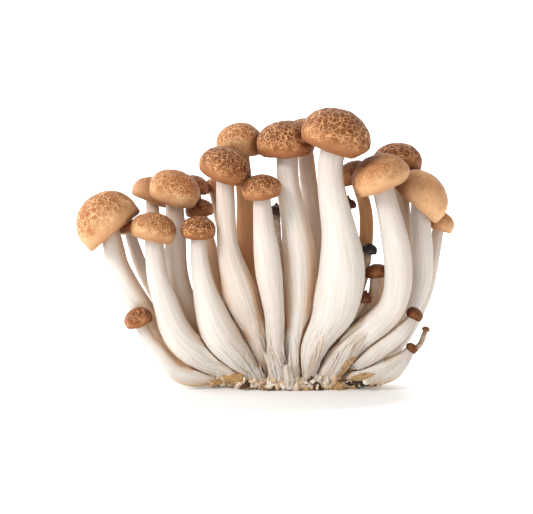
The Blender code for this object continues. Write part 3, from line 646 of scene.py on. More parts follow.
def refine(grid, rings, columns):
    """A grid whose rings close, drawn again with more rings and columns by smooth curves through it."""

    def along(values, places):
        whole = np.floor(places).astype(int)
        share = (places - whole)[:, None, None]
        before, start, end, after = (
            values[np.clip(whole + i, 0, len(values) - 1)] for i in (-1, 0, 1, 2)
        )
        bend = 2 * before - 5 * start + 4 * end - after
        twist = 3 * (start - end) + after - before
        return start + 0.5 * share * (end - before + share * (bend + share * twist))

    taller = along(grid, np.linspace(0, len(grid) - 1, rings))
    count = taller.shape[1]
    turned = np.concatenate([taller[:, -1:], taller, taller[:, :2]], axis=1).transpose(1, 0, 2)
    return along(turned, 1 + count * np.arange(columns) / columns).transpose(1, 0, 2)


def fibre_places(route, columns, shift):
    """Places round and along a stem, for grain that runs lengthwise: round in mm, and height."""
    run = run_along(route)
    turn = turns(columns)[None, :] + GRAIN_TWIST * run[:, None]
    height = np.repeat(run[:, None], columns, axis=1)
    places = np.stack([GRAIN_RADIUS * np.cos(turn), GRAIN_RADIUS * np.sin(turn), height], axis=2)
    return places + shift, run


def stem_relief(places, share, seed):
    """How deep the lengthwise grooves and folds of a stem are, in mm, and how marked the creases are."""
    foot = np.clip(1 - share / FOOT_SHARE, 0, 1)
    broad, folds, fine, kept, lumps, wrinkles = (
        noise(places.reshape(-1, 3), (width, width, length), seed + layer).reshape(share.shape)
        for layer, (width, length) in enumerate(STEM_GRAINS)
    )
    kept = np.clip(kept + 0.10 + 1.1 * foot, 0, 1)
    crease = np.clip(1 - np.abs(folds) / FOLD_WIDTH, 0, 1) * kept
    wrinkles = np.clip(1 - np.abs(wrinkles) / WRINKLE_WIDTH, 0, 1)
    depth = 0.14 * np.abs(broad) + (0.05 + 0.14 * foot) * np.abs(fine)
    depth += (0.06 + 0.34 * foot) * (0.5 + 0.5 * lumps)
    depth += (0.03 + 0.20 * foot) * wrinkles + (0.05 + 0.60 * foot) * crease
    return depth, crease * (0.12 + 0.88 * foot)


def build_stem(name, plan, material):
    """A stem with lengthwise grooves, pressed by its neighbours, its root sunk in the butt."""
    route = ROUTES[name]
    number = int(name)
    skin, cores = skin_columns(route, lean_axis(plan), PRESS_COLUMNS)
    pressed = press(skin, cores, ("mushroom", name), lambda p: tube_distance(p, route))
    pushed = np.linalg.norm(pressed - skin, axis=2, keepdims=True)
    grid, cores, pushed = (refine(values, STEM_RINGS, STEM_COLUMNS) for values in (pressed, cores, pushed))
    places, run = fibre_places(cores[:, 0], STEM_COLUMNS, GRAIN_SHIFT * number)
    share = np.repeat((run / run[-1])[:, None], STEM_COLUMNS, axis=1)
    depth, crease = stem_relief(places, share, 10 * number)
    # Brown painted shade: by stem, and on the side away from the light
    aside = np.clip((grid_normals(grid)[..., 0] - 0.1) / 0.8, 0, 1)
    brown = np.maximum(STEM_SHADE_BROWNS.get(name, 0.0), SIDE_SHADE_BROWNS.get(name, 0.0) * aside)
    hidden = grid_shelter(grid, *STEM_SHELTER)
    grid = sink(grid, cores, depth, FOLD_MOST)
    grid[..., 2] = np.maximum(grid[..., 2], STEM_LOWEST)
    fields = {"sheltered": hidden, "pushed": pushed[..., 0], "crease": crease, "share": share, "brown": brown}
    attributes = {title: np.append(values.ravel(), values[-1].mean()) for title, values in fields.items()}
    attributes["fibre"] = np.concatenate([places.reshape(-1, 3), places[-1, :1]])
    vertices = np.concatenate([grid.reshape(-1, 3), route[-1:, :3]])
    faces = tube_faces(STEM_RINGS, STEM_COLUMNS, len(vertices) - 1)
    return new_mesh(f"stem_fine_{name}", vertices, faces, material, attributes)


def under_height(plan, across, share, angles):
    """Height, in cap radii, of a place under the widest ring: across is its distance from the axis in radii.
    The margin's plane leans by the skew, and the seat's doesn't."""
    lean = plan["skew"] * across * np.cos(angles) * np.clip((share - SEAT) / (1 - SEAT), 0.0, 1.0)
    return -plan["brim"] * share * (1 + lean)


def cap_lip(plan):
    """The lip's distance from the axis, in radii."""
    return CAP_LIP * min(plan["rim"], FULL_RIM) / FULL_RIM


def brim_curve(plan):
    """The outline from the widest ring down to the margin and in to the lip: distance in radii, depth's share
    and how far the margin's tuck works there."""
    rim = plan["rim"]
    side = [(1 - (1 - rim) * depth**1.5, depth, depth**1.5) for depth in SIDE_DEPTHS]
    underside = [(rim + (cap_lip(plan) - rim) * inward, depth, 1.0) for inward, depth in UNDERSIDE]
    scaled = [(across, depth * plan["brim"], 0.0, tucked) for across, depth, tucked in side + underside]
    curve = smooth_route(scaled, BRIM_RINGS + 1)[1:]
    return curve[:, 0], curve[:, 1] / plan["brim"], curve[:, 3]


def cap_rings(plan, angles):
    """A cap's rings from its top to its lip: distances from the axis and heights, in radii."""
    rise = np.linspace(math.pi / 2, 0.0, DOME_RINGS + 1)[1:]
    dome = np.repeat(plan["tall"] * np.sin(rise)[:, None], len(angles), axis=1)
    round_dome = np.repeat(np.cos(rise)[:, None], len(angles), axis=1)
    across, share, tucked = (values[:, None] for values in brim_curve(plan))
    brim = under_height(plan, across, share, angles)
    round_brim = across * (1 - plan["tuck"] * tucked * np.cos(angles))
    return np.concatenate([round_dome, round_brim]), np.concatenate([dome, brim])


def gill_rings(plan, angles):
    """The rings from the lip in to the stem, in radii, by ring and angle, with gills standing in them."""
    rising = unit(np.array(plan["cap"], float) - np.array(plan["stem"][-1][:3]))
    slant = math.tan(math.acos(min(1.0, float(rising @ lean_axis(plan)))))
    inner = (plan["neck"] - GILL_SINK) / plan["radius"] + 0.5 * slant * (GILL_EDGE - SEAT) * plan["brim"]
    share = np.linspace(0.0, 1.0, GILL_RINGS + 1)[1:, None]
    across = cap_lip(plan) + (inner - cap_lip(plan)) * share
    columns = np.arange(len(angles))
    blade = np.array(GILL_BLADE)[columns % 4]
    short = columns // 4 % 2 == 1
    valley = LIP_VALLEY + (SEAT - LIP_VALLEY) * share
    edge = LIP_EDGE + (GILL_EDGE - LIP_EDGE) * share
    stands = blade * np.where(short, np.clip(1.6 - 2.4 * share, 0, 1), 1.0)
    round_gills = across * (1 - plan["tuck"] * (1 - share) * np.cos(angles))
    return round_gills, under_height(plan, across, valley + (edge - valley) * stands, angles)


def cap_grid(name, plan):
    """A cap's points round its own middle, by ring and column, uneven but not yet leaning or pressed."""
    radius = plan["radius"]
    columns = 4 * next(count for least, count in GILL_COUNTS if radius >= least)
    seed = 500 + 10 * int(name)
    angles = turns(columns)
    outside, outside_heights = cap_rings(plan, angles)
    across, gill_heights = gill_rings(plan, angles)
    distances = radius * np.concatenate([outside, across])
    heights = radius * np.concatenate([outside_heights, gill_heights])
    ways = flat_ways(angles)
    bend = sum(most * noise(ways, cell, seed + i) for i, (most, cell) in enumerate(CAP_BENDS))
    bend = 1 + bend[None, :] * np.clip(distances / radius, 0, 1)
    most, cell = CAP_WARP
    warp = most * radius * noise(ways, cell, seed + 2)[None, :]
    local = ways[None, :, :] * (distances * bend)[:, :, None]
    local[..., 2] = heights + warp * (distances / radius) ** 3
    flat = local.reshape(-1, 3)
    on_dome = np.repeat(np.arange(len(distances)) < len(outside), columns)
    swell = sum(
        most * rough_noise(flat + 50, cell, seed + 3 + 3 * i, octaves)
        for i, (most, cell, octaves) in enumerate(CAP_SWELLS)
    )
    flat = flat + unit(flat + 1e-9) * (swell * on_dome)[:, None]
    return flat.reshape(local.shape)


def build_cap(name, plan, material):
    """A cap: its dome, its rolled brim and its gills, pressed where a neighbour touches it."""
    grid = cap_grid(name, plan)
    rings, columns = grid.shape[:2]
    flat = grid.reshape(-1, 3)
    radius = plan["radius"]
    shift = CAP_SHIFT * int(name)
    axis = lean_axis(plan)
    middle = np.array(plan["cap"], float)
    placed = middle + flat @ np.stack([*axis_frame(axis), axis])
    cores = np.broadcast_to(middle, placed.shape)
    placed = press(placed, cores, ("mushroom", name), lambda p: cap_distance(p, plan))
    hidden = grid_shelter(placed.reshape(rings, columns, 3)[::-1], *CAP_SHELTER)[::-1]
    top = middle + axis * plan["tall"] * radius
    inside = middle - axis * SEAT * plan["brim"] * radius
    vertices = np.concatenate([placed, [top], [inside]])
    count = len(vertices)
    faces = [tuple(reversed(face)) for face in tube_faces(rings, columns, count - 1, count - 2)]
    tone, net, cell = CAP_LOOKS[name]
    run = [np.linspace(0, 1, DOME_RINGS), np.linspace(1, 2, BRIM_RINGS), np.full(GILL_RINGS, 3.0)]
    crown = (shift, shift, shift + plan["tall"] * radius)
    attributes = {
        "place": np.concatenate([flat + shift, [crown], [(0.0, 0.0, 0.0)]]) / cell,
        "sheltered": np.append(hidden.ravel(), [hidden[0].mean(), hidden[-1].mean()]),
        "run": np.append(np.repeat(np.concatenate(run), columns), [0.0, 3.0]),
        "tone": np.full(count, tone),
        "net": np.full(count, net),
    }
    return new_mesh(f"cap_fine_{name}", vertices, faces, material, attributes)


def build_bud(name, plan, material):
    """A dried bud: a thin pale stem that swells into a closed brown cap."""
    route = BUD_ROUTES[name]
    radius = plan["radius"]
    axis = lean_axis(plan)
    middle = np.array(plan["cap"], float)
    skin, cores = skin_columns(route, axis, BUD_COLUMNS)
    fixed = [(across, height, 0.0, 0.0) for across, height in (*BUD_CAP, (BUD_TIP, plan["tall"]))]
    outline = smooth_route(fixed, BUD_RINGS)[1:, :2] * radius
    across, height = outline[:, :1, None], outline[:, 1:, None]
    crown = middle + across * ring_ways(*axis_frame(axis), BUD_COLUMNS) + height * axis
    grid = np.concatenate([skin, crown])
    cores = np.concatenate([cores, np.broadcast_to(middle, crown.shape)])

    def own_distance(trial):
        return np.minimum(tube_distance(trial, route), cap_distance(trial, plan))

    grid = press(grid, cores, ("bud", name), own_distance)
    deep, cell = BUD_WRINKLES
    lumps = rough_noise(grid.reshape(-1, 3), cell, 900 + 10 * int(name)).reshape(grid.shape[:2])
    grid = sink(grid, cores, deep * (0.5 + 0.5 * lumps), BUD_MOST)
    vertices = np.concatenate([grid.reshape(-1, 3), [middle + axis * plan["tall"] * radius]])
    faces = tube_faces(len(grid), BUD_COLUMNS, len(vertices) - 1)
    brown = np.clip((np.arange(len(grid)) - ROUTE_STEPS + 4) / 4, 0, 1)
    attributes = {
        "sheltered": np.append(grid_shelter(grid, *BUD_SHELTER).ravel(), 0.0),
        "brown": np.append(np.repeat(brown, BUD_COLUMNS), 1.0),
        "colour": np.tile(BUD_COLOURS[name], (len(vertices), 1)),
    }
    return new_mesh(f"bud_fine_{name}", vertices, faces, material, attributes)


def front_depth(x, z, facing=-1.0):
    """The Y of the first surface that is met from the front at a place, or from the back when facing is 1."""
    hit = SHELTER_TREE.ray_cast(Vector((x, OUTSIDE * facing, z)) * MM, Vector((0.0, -facing, 0.0)))
    return hit[0].y / MM if hit[0] is not None else 0.0


def build_flake(name, number, material):
    """A thin flake that lies over what is behind it, its edge ragged: husk, or a sheet of painted shadow."""
    middle, (long, high), turn, colour = FLAKES[name]
    seed = 300 + 10 * number
    angles = turns(FLAKE_COLUMNS)
    shares = np.linspace(0.04, 1.0, FLAKE_RINGS)[:, None]
    ways = flat_ways(angles)
    ragged = 1 + sum(deep * noise(rags * ways, 1.0, seed + i) for i, (deep, rags) in enumerate(FLAKE_RAGS))
    along = long * shares * ragged * np.cos(angles)
    across = high * shares * ragged * np.sin(angles)
    cosine, sine = math.cos(math.radians(turn)), math.sin(math.radians(turn))
    x = middle[0] + along * cosine - across * sine
    z = np.maximum(middle[1] + along * sine + across * cosine, 0.1)
    y = np.array([front_depth(*place) for place in zip(x.ravel(), z.ravel())]).reshape(x.shape)
    for _ in range(FLAKE_SMOOTHINGS):
        y = (y + np.roll(y, 1, axis=1) + np.roll(y, -1, axis=1)) / 3
        y = (y + np.concatenate([y[:1], y[:-1]]) + np.concatenate([y[1:], y[-1:]])) / 3
    grain = np.stack([along, across, np.zeros_like(along)], axis=2) + seed
    fibres = FLAKE_FIBRES * np.abs(noise(grain.reshape(-1, 3), FLAKE_FIBRE_CELL, seed + 2)).reshape(x.shape)
    front = np.stack([x, y - FLAKE_LIFT - FLAKE_BULGE * (1 - shares**2) - fibres, z], axis=2)
    back = front + (0.0, FLAKE_THICKNESS, 0.0)
    grid = np.concatenate([front, back[::-1]])
    vertices = np.concatenate([grid.reshape(-1, 3), [front[0].mean(axis=0)], [back[0].mean(axis=0)]])
    faces = tube_faces(len(grid), FLAKE_COLUMNS, len(vertices) - 1, len(vertices) - 2)
    grains = np.concatenate([grain, grain[::-1]]).reshape(-1, 3)
    attributes = {
        "grain": np.concatenate([grains, grains[:2]]),
        "colour": np.tile(colour, (len(vertices), 1)),
    }
    return new_mesh(f"husk_{name}", vertices, faces, material, attributes)


def build_strand(name, material):
    """A short tube along a few points, closed by a round tip: the stub, a loose fibre or a squeezed stem."""
    points, lumps, brown = STRANDS[name]
    route = smooth_route(points, STRAND_RINGS)
    middle = route[:, None, :3]
    around = ring_ways(*axis_frame(unit(np.gradient(route[:, :3], axis=0))), STRAND_COLUMNS)
    tip = np.clip((np.linspace(0.0, 1.0, STRAND_RINGS) - STRAND_TIP) / (STRAND_END - STRAND_TIP), 0, 1)
    radii = (route[:, 3] * np.sqrt(1 - tip**2))[:, None, None]
    flat = (middle + around * radii).reshape(-1, 3)
    rough = np.abs(noise(flat, (0.8, 0.8, 4.0), 71)) + np.abs(noise(flat, (1.6, 1.6, 2.4), 73))
    grooves = (1 - lumps * rough).reshape(STRAND_RINGS, STRAND_COLUMNS)
    grid = middle + around * radii * grooves[:, :, None]
    vertices = np.concatenate([grid.reshape(-1, 3), route[-1:, :3], route[:1, :3]])
    count = len(vertices)
    faces = tube_faces(STRAND_RINGS, STRAND_COLUMNS, count - 2, count - 1)
    attributes = {
        "fibre": vertices,
        "sheltered": np.full(count, STRAND_SHELTER),
        "crease": np.append(np.clip(1 - grooves, 0, 1) * 1.5, [0.0, 0.0]),
        "share": np.full(count, STRAND_SHARE),
        "brown": np.full(count, brown),
    }
    return new_mesh(f"{name}_fine", vertices, faces, material, attributes)


def ridge_line(number, random):
    """The middle line of a ridge, its radii and how brown it is, or None where it would hang over a gap."""
    share = np.linspace(0.0, 1.0, RIDGE_RINGS)
    facing = -1.0 if number % 3 else 1.0
    start = random.uniform(*RIDGE_STARTS)
    low = random.uniform(*RIDGE_LOWS)
    high = low + random.uniform(*RIDGE_RISES)
    radius = random.uniform(*RIDGE_RADII)
    brown = random.choice(RIDGE_BROWNS, p=RIDGE_ODDS)
    aside, cell = RIDGE_WANDER
    z = low + (high - low) * share
    wander = aside * noise(np.stack([z, z, z], axis=1) + 5 * number, cell, 81)
    x = start * (1 + (z - 1.0) / RIDGE_FAN) + wander
    y = np.array([front_depth(*place, facing) for place in zip(x, z)])
    if abs(y).min() < RIDGE_LEAST_Y or abs(np.diff(y)).max() > RIDGE_MOST_STEP:
        return None
    for _ in range(RIDGE_SMOOTHINGS):
        y[1:-1] = (y[:-2] + y[1:-1] + y[2:]) / 3
    radii = radius * np.sqrt(np.sin(math.pi * np.clip(share, 0.02, 0.98)))
    return np.stack([x, y - RIDGE_LIFT * radius * facing, z], axis=1), radii, brown


def build_ridges(material):
    """Thin ridges that run from the butt up over the feet, in front and behind, half sunk."""
    random = np.random.default_rng(11)
    across = flat_ways(turns(RIDGE_COLUMNS))
    vertices, faces, browns = [], [], []
    lines = [ridge_line(number, random) for number in range(RIDGES)]
    for centre, radii, brown in filter(None, lines):
        first = len(vertices)
        grid = centre[:, None, :] + across[None] * radii[:, None, None]
        vertices += [*grid.reshape(-1, 3), centre[-1], centre[0]]
        count = len(vertices)
        faces += tube_faces(RIDGE_RINGS, RIDGE_COLUMNS, count - 2, count - 1, first)
        browns += [brown] * (count - first)
    attributes = {
        "fibre": np.array(vertices),
        "sheltered": np.full(len(vertices), RIDGE_SHELTER),
        "share": np.full(len(vertices), RIDGE_SHARE),
        "brown": np.array(browns),
    }
    return new_mesh("foot_ridges", vertices, faces, material, attributes)


def butt_point(angles, rises):
    """Points on the butt's outside, by the angle round it and the rise over it, both in radians."""
    swell = 1 + sum(deep * np.cos(waves * angles + start) for deep, waves, start in BASE_WAVES)
    across = np.cos(rises) ** (2 / BASE_SHOULDER) * swell
    x = BASE_HALF_LENGTH * across * np.cos(angles)
    y = BASE_HALF_DEPTH * across * np.sin(angles)
    z = BASE_HEIGHT * np.sin(rises) ** (2 / BASE_SHOULDER)
    return np.stack([x, y, z], axis=-1)


def build_butt(material):
    """The butt: a low lumpy dome of grown-together tissue, flat underneath."""
    angles = turns(BASE_COLUMNS)
    low = math.asin((BASE_TUCK / BASE_HEIGHT) ** (BASE_SHOULDER / 2))
    rises = np.linspace(low, math.pi / 2 - 0.01, BASE_RINGS)
    under = butt_point(angles, np.full(BASE_COLUMNS, low)) * (BASE_FLAT, BASE_FLAT, 0.0)
    grid = np.concatenate([under[None], butt_point(*np.meshgrid(angles, rises))])
    flat = grid.reshape(-1, 3)
    outward = unit(flat * (1.0, 2.0, 2.5) + 1e-9)
    lumps = 0.55 * rough_noise(flat, 3.2, 41) + 0.30 * np.abs(noise(flat, (0.9, 0.9, 3.5), 45))
    lumps = np.where(flat[:, 2] < 0.01, -BASE_HOLLOW, lumps)
    flat = flat + outward * lumps[:, None]
    flat[:BASE_COLUMNS, 2] = 0.0
    flat[:, 2] = np.maximum(flat[:, 2], 0.0)
    vertices = np.concatenate([flat, [(0, 0, BASE_HEIGHT)], [(0, 0, 0)]])
    faces = tube_faces(len(grid), BASE_COLUMNS, len(flat), len(flat) + 1)
    return new_mesh("butt_fine", vertices, faces, material)


def round_grain():
    """A small ball of triangles at radius one, as vertices and faces."""
    golden = (1 + math.sqrt(5)) / 2
    corners = []
    for a, b in itertools.product((-1, 1), (-golden, golden)):
        corners += [(0, a, b), (a, b, 0), (b, 0, a)]
    corners = unit(corners)
    vertices = list(corners)
    middles, split = {}, []
    for i, j, k in itertools.combinations(range(12), 3):
        sides = [np.linalg.norm(corners[a] - corners[b]) for a, b in ((i, j), (j, k), (i, k))]
        if max(sides) > 1.1:
            continue
        out = np.cross(corners[j] - corners[i], corners[k] - corners[i]) @ corners[i] > 0
        a, b, c = (i, j, k) if out else (i, k, j)
        mids = []
        for pair in ((a, b), (b, c), (c, a)):
            key = tuple(sorted(pair))
            if key not in middles:
                middles[key] = len(vertices)
                vertices.append(unit(corners[pair[0]] + corners[pair[1]]))
            mids.append(middles[key])
        ab, bc, ca = mids
        split += [(a, ab, ca), (b, bc, ab), (c, ca, bc), (ab, bc, ca)]
    return np.array(vertices), split


def crumb_place(random):
    """A place on the feet or the butt, low down, met from outside at a random angle."""
    angle = random.uniform(0, 2 * math.pi)
    height = CRUMB_LOWEST + CRUMB_RISE * random.beta(*CRUMB_FALL)
    way = np.array((math.cos(angle), math.sin(angle), 0.0))
    inner = np.array((BASE_HALF_LENGTH, BASE_HALF_DEPTH, 0.0)) * way * random.uniform(*CRUMB_AIMS)
    start = inner + way * CRUMB_OUTSIDE + (0.0, 0.0, height)
    hit = SHELTER_TREE.ray_cast(Vector(start) * MM, Vector(-way))
    return None if hit[0] is None else np.array(hit[0]) / MM


def build_crumbs(material):
    """Clumps and crumbs of what the cluster grew in, round the butt and the low parts of the feet."""
    random = np.random.default_rng(7)
    ball, ball_faces = round_grain()
    vertices, faces, tones = [], [], []
    for number in range(CRUMBS):
        place = crumb_place(random)
        size = random.uniform(*CRUMB_SIZES) * (CRUMB_CLUMP if random.random() < CRUMB_CLUMPS else 1.0)
        shape = random.uniform(*CRUMB_SHAPES, 3) * size
        turned = ball @ np.linalg.qr(random.normal(size=(3, 3)))[0]
        bumps = 1 + sum(
            deep * noise(ball + number * step, cell, seed) for deep, step, cell, seed in CRUMB_BUMPS
        )
        kind = random.choice(CRUMB_TONES, p=CRUMB_ODDS)
        if place is None or abs(place[0]) > BASE_HALF_LENGTH - 1.0:
            continue
        placed = place + turned * bumps[:, None] * shape
        placed[:, 2] = np.maximum(placed[:, 2], 0.0)
        first = len(vertices)
        vertices += list(placed)
        faces += [tuple(first + i for i in face) for face in ball_faces]
        # Browner near the floor: dark soil bits, and painted shade along the floor line
        low = np.clip(1 - place[2] / CRUMB_DARK, 0, 1)
        tones += [float(np.clip(kind + 0.60 * low, 0, 1))] * len(placed)
    return new_mesh("butt_crumbs", vertices, faces, material, {"tone": np.array(tones)})


class Look:
    """A material and its node tree, built by short calls."""

    def __init__(self, name):
        self.material = bpy.data.materials.new(name)
        self.material.use_nodes = True
        self.tree = self.material.node_tree
        self.shader = self.tree.nodes["Principled BSDF"]

    def feed(self, node, inputs):
        """Gives a node's inputs their values, or links them to other nodes' outputs."""
        for key, value in inputs.items():
            if isinstance(value, bpy.types.NodeSocket):
                self.tree.links.new(value, node.inputs[key])
            else:
                node.inputs[key].default_value = value

    def add(self, kind, inputs, **settings):
        """A new node with its inputs and settings."""
        node = self.tree.nodes.new(kind)
        for key, value in settings.items():
            setattr(node, key, value)
        self.feed(node, inputs)
        return node

    def place(self):
        """The place on the piece, in metres."""
        return self.add("ShaderNodeTexCoord", {}).outputs["Object"]

    def attribute(self, name, kind="Fac"):
        """What the mesh says of a point under that name."""
        return self.add("ShaderNodeAttribute", {}, attribute_name=name).outputs[kind]

    def maths(self, operation, first, second):
        return self.add("ShaderNodeMath", {0: first, 1: second}, operation=operation).outputs[0]

    def times(self, first, second):
        return self.maths("MULTIPLY", first, second)

    def plus(self, first, second):
        return self.maths("ADD", first, second)

    def vector(self, operation, first, second):
        return self.add("ShaderNodeVectorMath", {0: first, 1: second}, operation=operation).outputs[0]

    def spread(self, value, low, high, to_low=0.0, to_high=1.0):
        """The value moved smoothly from one range to another."""
        ends = {0: value, 1: low, 2: high, 3: to_low, 4: to_high}
        return self.add("ShaderNodeMapRange", ends, interpolation_type="SMOOTHSTEP").outputs[0]

    def noise(self, vector, scale, detail=2.0, rough=0.5, output=0):
        ends = {"Vector": vector, "Scale": scale, "Detail": detail, "Roughness": rough}
        return self.add("ShaderNodeTexNoise", ends).outputs[output]

    def streaks(self, vector, scales, detail, rough):
        """Noise with its own scale along each axis."""
        return self.noise(self.vector("MULTIPLY", vector, scales), 1.0, detail, rough)

    def edges(self, vector, scale):
        """The distance to the nearest border between cells."""
        cells = {"Vector": vector, "Scale": scale}
        return self.add("ShaderNodeTexVoronoi", cells, feature="DISTANCE_TO_EDGE").outputs["Distance"]

    def mix(self, factor, first, second, blend="MIX"):
        """The second colour over the first one by the factor."""
        node = self.add("ShaderNodeMix", {0: factor}, data_type="RGBA", blend_type=blend)
        for key, value in ((6, first), (7, second)):
            self.feed(node, {key: (*value, 1.0) if isinstance(value, tuple) else value})
        return node.outputs[2]

    def tint(self, factor, first, second):
        """The first colour darkened by the second one, by the factor."""
        return self.mix(factor, first, second, "MULTIPLY")

    def finish(self, colour, roughness, relief, strength, distance, more=None):
        """Feeds the shader. Roughness is a grain and the range that the grain moves it in."""
        bump = self.add("ShaderNodeBump", {"Strength": strength, "Distance": distance, "Height": relief})
        grain, smooth, rough = roughness
        self.feed(self.shader, {
            "Base Color": colour,
            "Roughness": self.spread(grain, 0.2, 0.8, smooth, rough),
            "Normal": bump.outputs[0],
        })
        self.feed(self.shader, more or {})
        return self.material


# Cap colours for tone 0 and tone 1: the skin's paler and darker patches, and the lines of the net
CAP_PALE = ((0.88, 0.55, 0.29), (0.27, 0.094, 0.029))
CAP_DARK = ((0.54, 0.188, 0.046), (0.085, 0.012, 0.002))
CAP_LINE = ((0.90, 0.63, 0.37), (0.74, 0.39, 0.175))
CAP_MOTTLE = (0.22, 0.065, 0.012)
CAP_UNDERSIDE = (0.60, 0.42, 0.27)
# Painted shade over the brim's downward side
CAP_BRIM_SHADE = (0.74, 0.69, 0.66)
# Darkens the darkest-toned caps further
CAP_DARKEST_TINT = (0.52, 0.46, 0.42)
# Painted shade where neighbours shelter the cap
CAP_SHADE_TINT = (0.42, 0.25, 0.14)


def net_lines(look, place):
    """How strongly a bold and a faint net line run through a place, with lines of uneven width."""
    wander = look.vector("SUBTRACT", look.noise(place, 1.1, output=1), (0.5, 0.5, 0.5))
    moved = look.vector("ADD", place, look.vector("MULTIPLY", wander, (0.9, 0.9, 0.9)))
    width = look.spread(look.noise(place, 0.55), 0.35, 0.65, 0.060, 0.140)
    bold = look.maths("SUBTRACT", 1.0, look.spread(look.edges(moved, 1.0), 0.01, width))
    faint = look.maths("SUBTRACT", 1.0, look.spread(look.edges(moved, 2.1), 0.0, 0.09))
    return bold, faint


def cap_material():
    """A cap's skin: pale net on tan to brown, smoother and paler towards its brim, with painted shade on the
    brim's downward side and where neighbours shelter it.
    """
    look = Look("cap_skin")
    place = look.attribute("place", "Vector")
    run, tone, net, sheltered = (look.attribute(name) for name in ("run", "tone", "net", "sheltered"))
    bold, faint = net_lines(look, place)
    patches = look.noise(place, 0.45, 3.0, 0.6)
    mottle = look.noise(place, 3.5, 3.0, 0.7)

    # Darker and paler patches, darker on the crown
    crown = look.maths("SUBTRACT", 1.0, look.spread(run, 0.55, 1.20))
    darkness = look.plus(look.times(crown, 0.95), look.spread(patches, 0.3, 0.75, -0.25, 0.35))
    darkness = look.times(darkness, look.spread(net, 0.15, 0.70, 0.25, 1.0))
    skin = look.mix(look.spread(darkness, 0.0, 1.0), look.mix(tone, *CAP_PALE), look.mix(tone, *CAP_DARK))
    skin = look.mix(look.spread(mottle, 0.35, 0.75, 0.0, 0.35), skin, CAP_MOTTLE)

    # The net, weaker in places and towards the brim
    band = look.plus(run, look.spread(patches, 0.35, 0.65, -0.25, 0.25))
    band = look.spread(look.spread(band, 1.25, 0.85), 0.0, 1.0, 0.05, 1.0)
    lines = look.maths("MAXIMUM", bold, look.times(faint, 0.55))
    lines = look.times(look.times(lines, net), band)
    lines = look.times(lines, look.spread(look.noise(place, 0.8), 0.30, 0.52, 0.40, 1.0))
    skin = look.mix(lines, skin, look.mix(tone, *CAP_LINE))

    # Painted shade on the brim's downward side, the darkest caps darker still, the underside's tan, and
    # painted shade where neighbours shelter the cap
    skin = look.tint(look.spread(run, 1.1, 1.6, 0.0, 0.85), skin, CAP_BRIM_SHADE)
    skin = look.tint(look.spread(tone, 0.94, 1.0, 0.0, 0.9), skin, CAP_DARKEST_TINT)
    skin = look.mix(look.spread(run, 1.75, 2.1), skin, CAP_UNDERSIDE)
    skin = look.tint(look.times(look.spread(sheltered, 0.05, 0.55), 0.85), skin, CAP_SHADE_TINT)
    relief = look.plus(look.times(lines, 0.6), look.times(mottle, 0.35))
    more = {"Specular IOR Level": 0.16, "Subsurface Weight": 0.06, "Subsurface Scale": 0.001}
    return look.finish(skin, (mottle, 0.48, 0.62), relief, 0.5, 0.0005, more)


# Stem colours: its flesh in two creams, and what lies over it, painted shade among it
STEM_DULL = (0.665, 0.612, 0.552)
STEM_CREAM = (0.725, 0.690, 0.650)
STEM_BLOTCH = (0.74, 0.64, 0.52)
STEM_NECK_SHADE = (0.53, 0.46, 0.42)
STEM_STAIN = (0.62, 0.42, 0.25)
STEM_CREASE_SHADE = (0.42, 0.28, 0.17)
STEM_FIBRE = (0.50, 0.39, 0.29)
STEM_CONTACT_SHADE = (0.38, 0.19, 0.075)
STEM_GAP_SHADE = (0.96, 0.79, 0.62)
STEM_DEEP_GAP_SHADE = (0.80, 0.56, 0.36)
STEM_BROWN_AND_SHADE = ((0.62, 0.33, 0.15), (0.40, 0.18, 0.07))


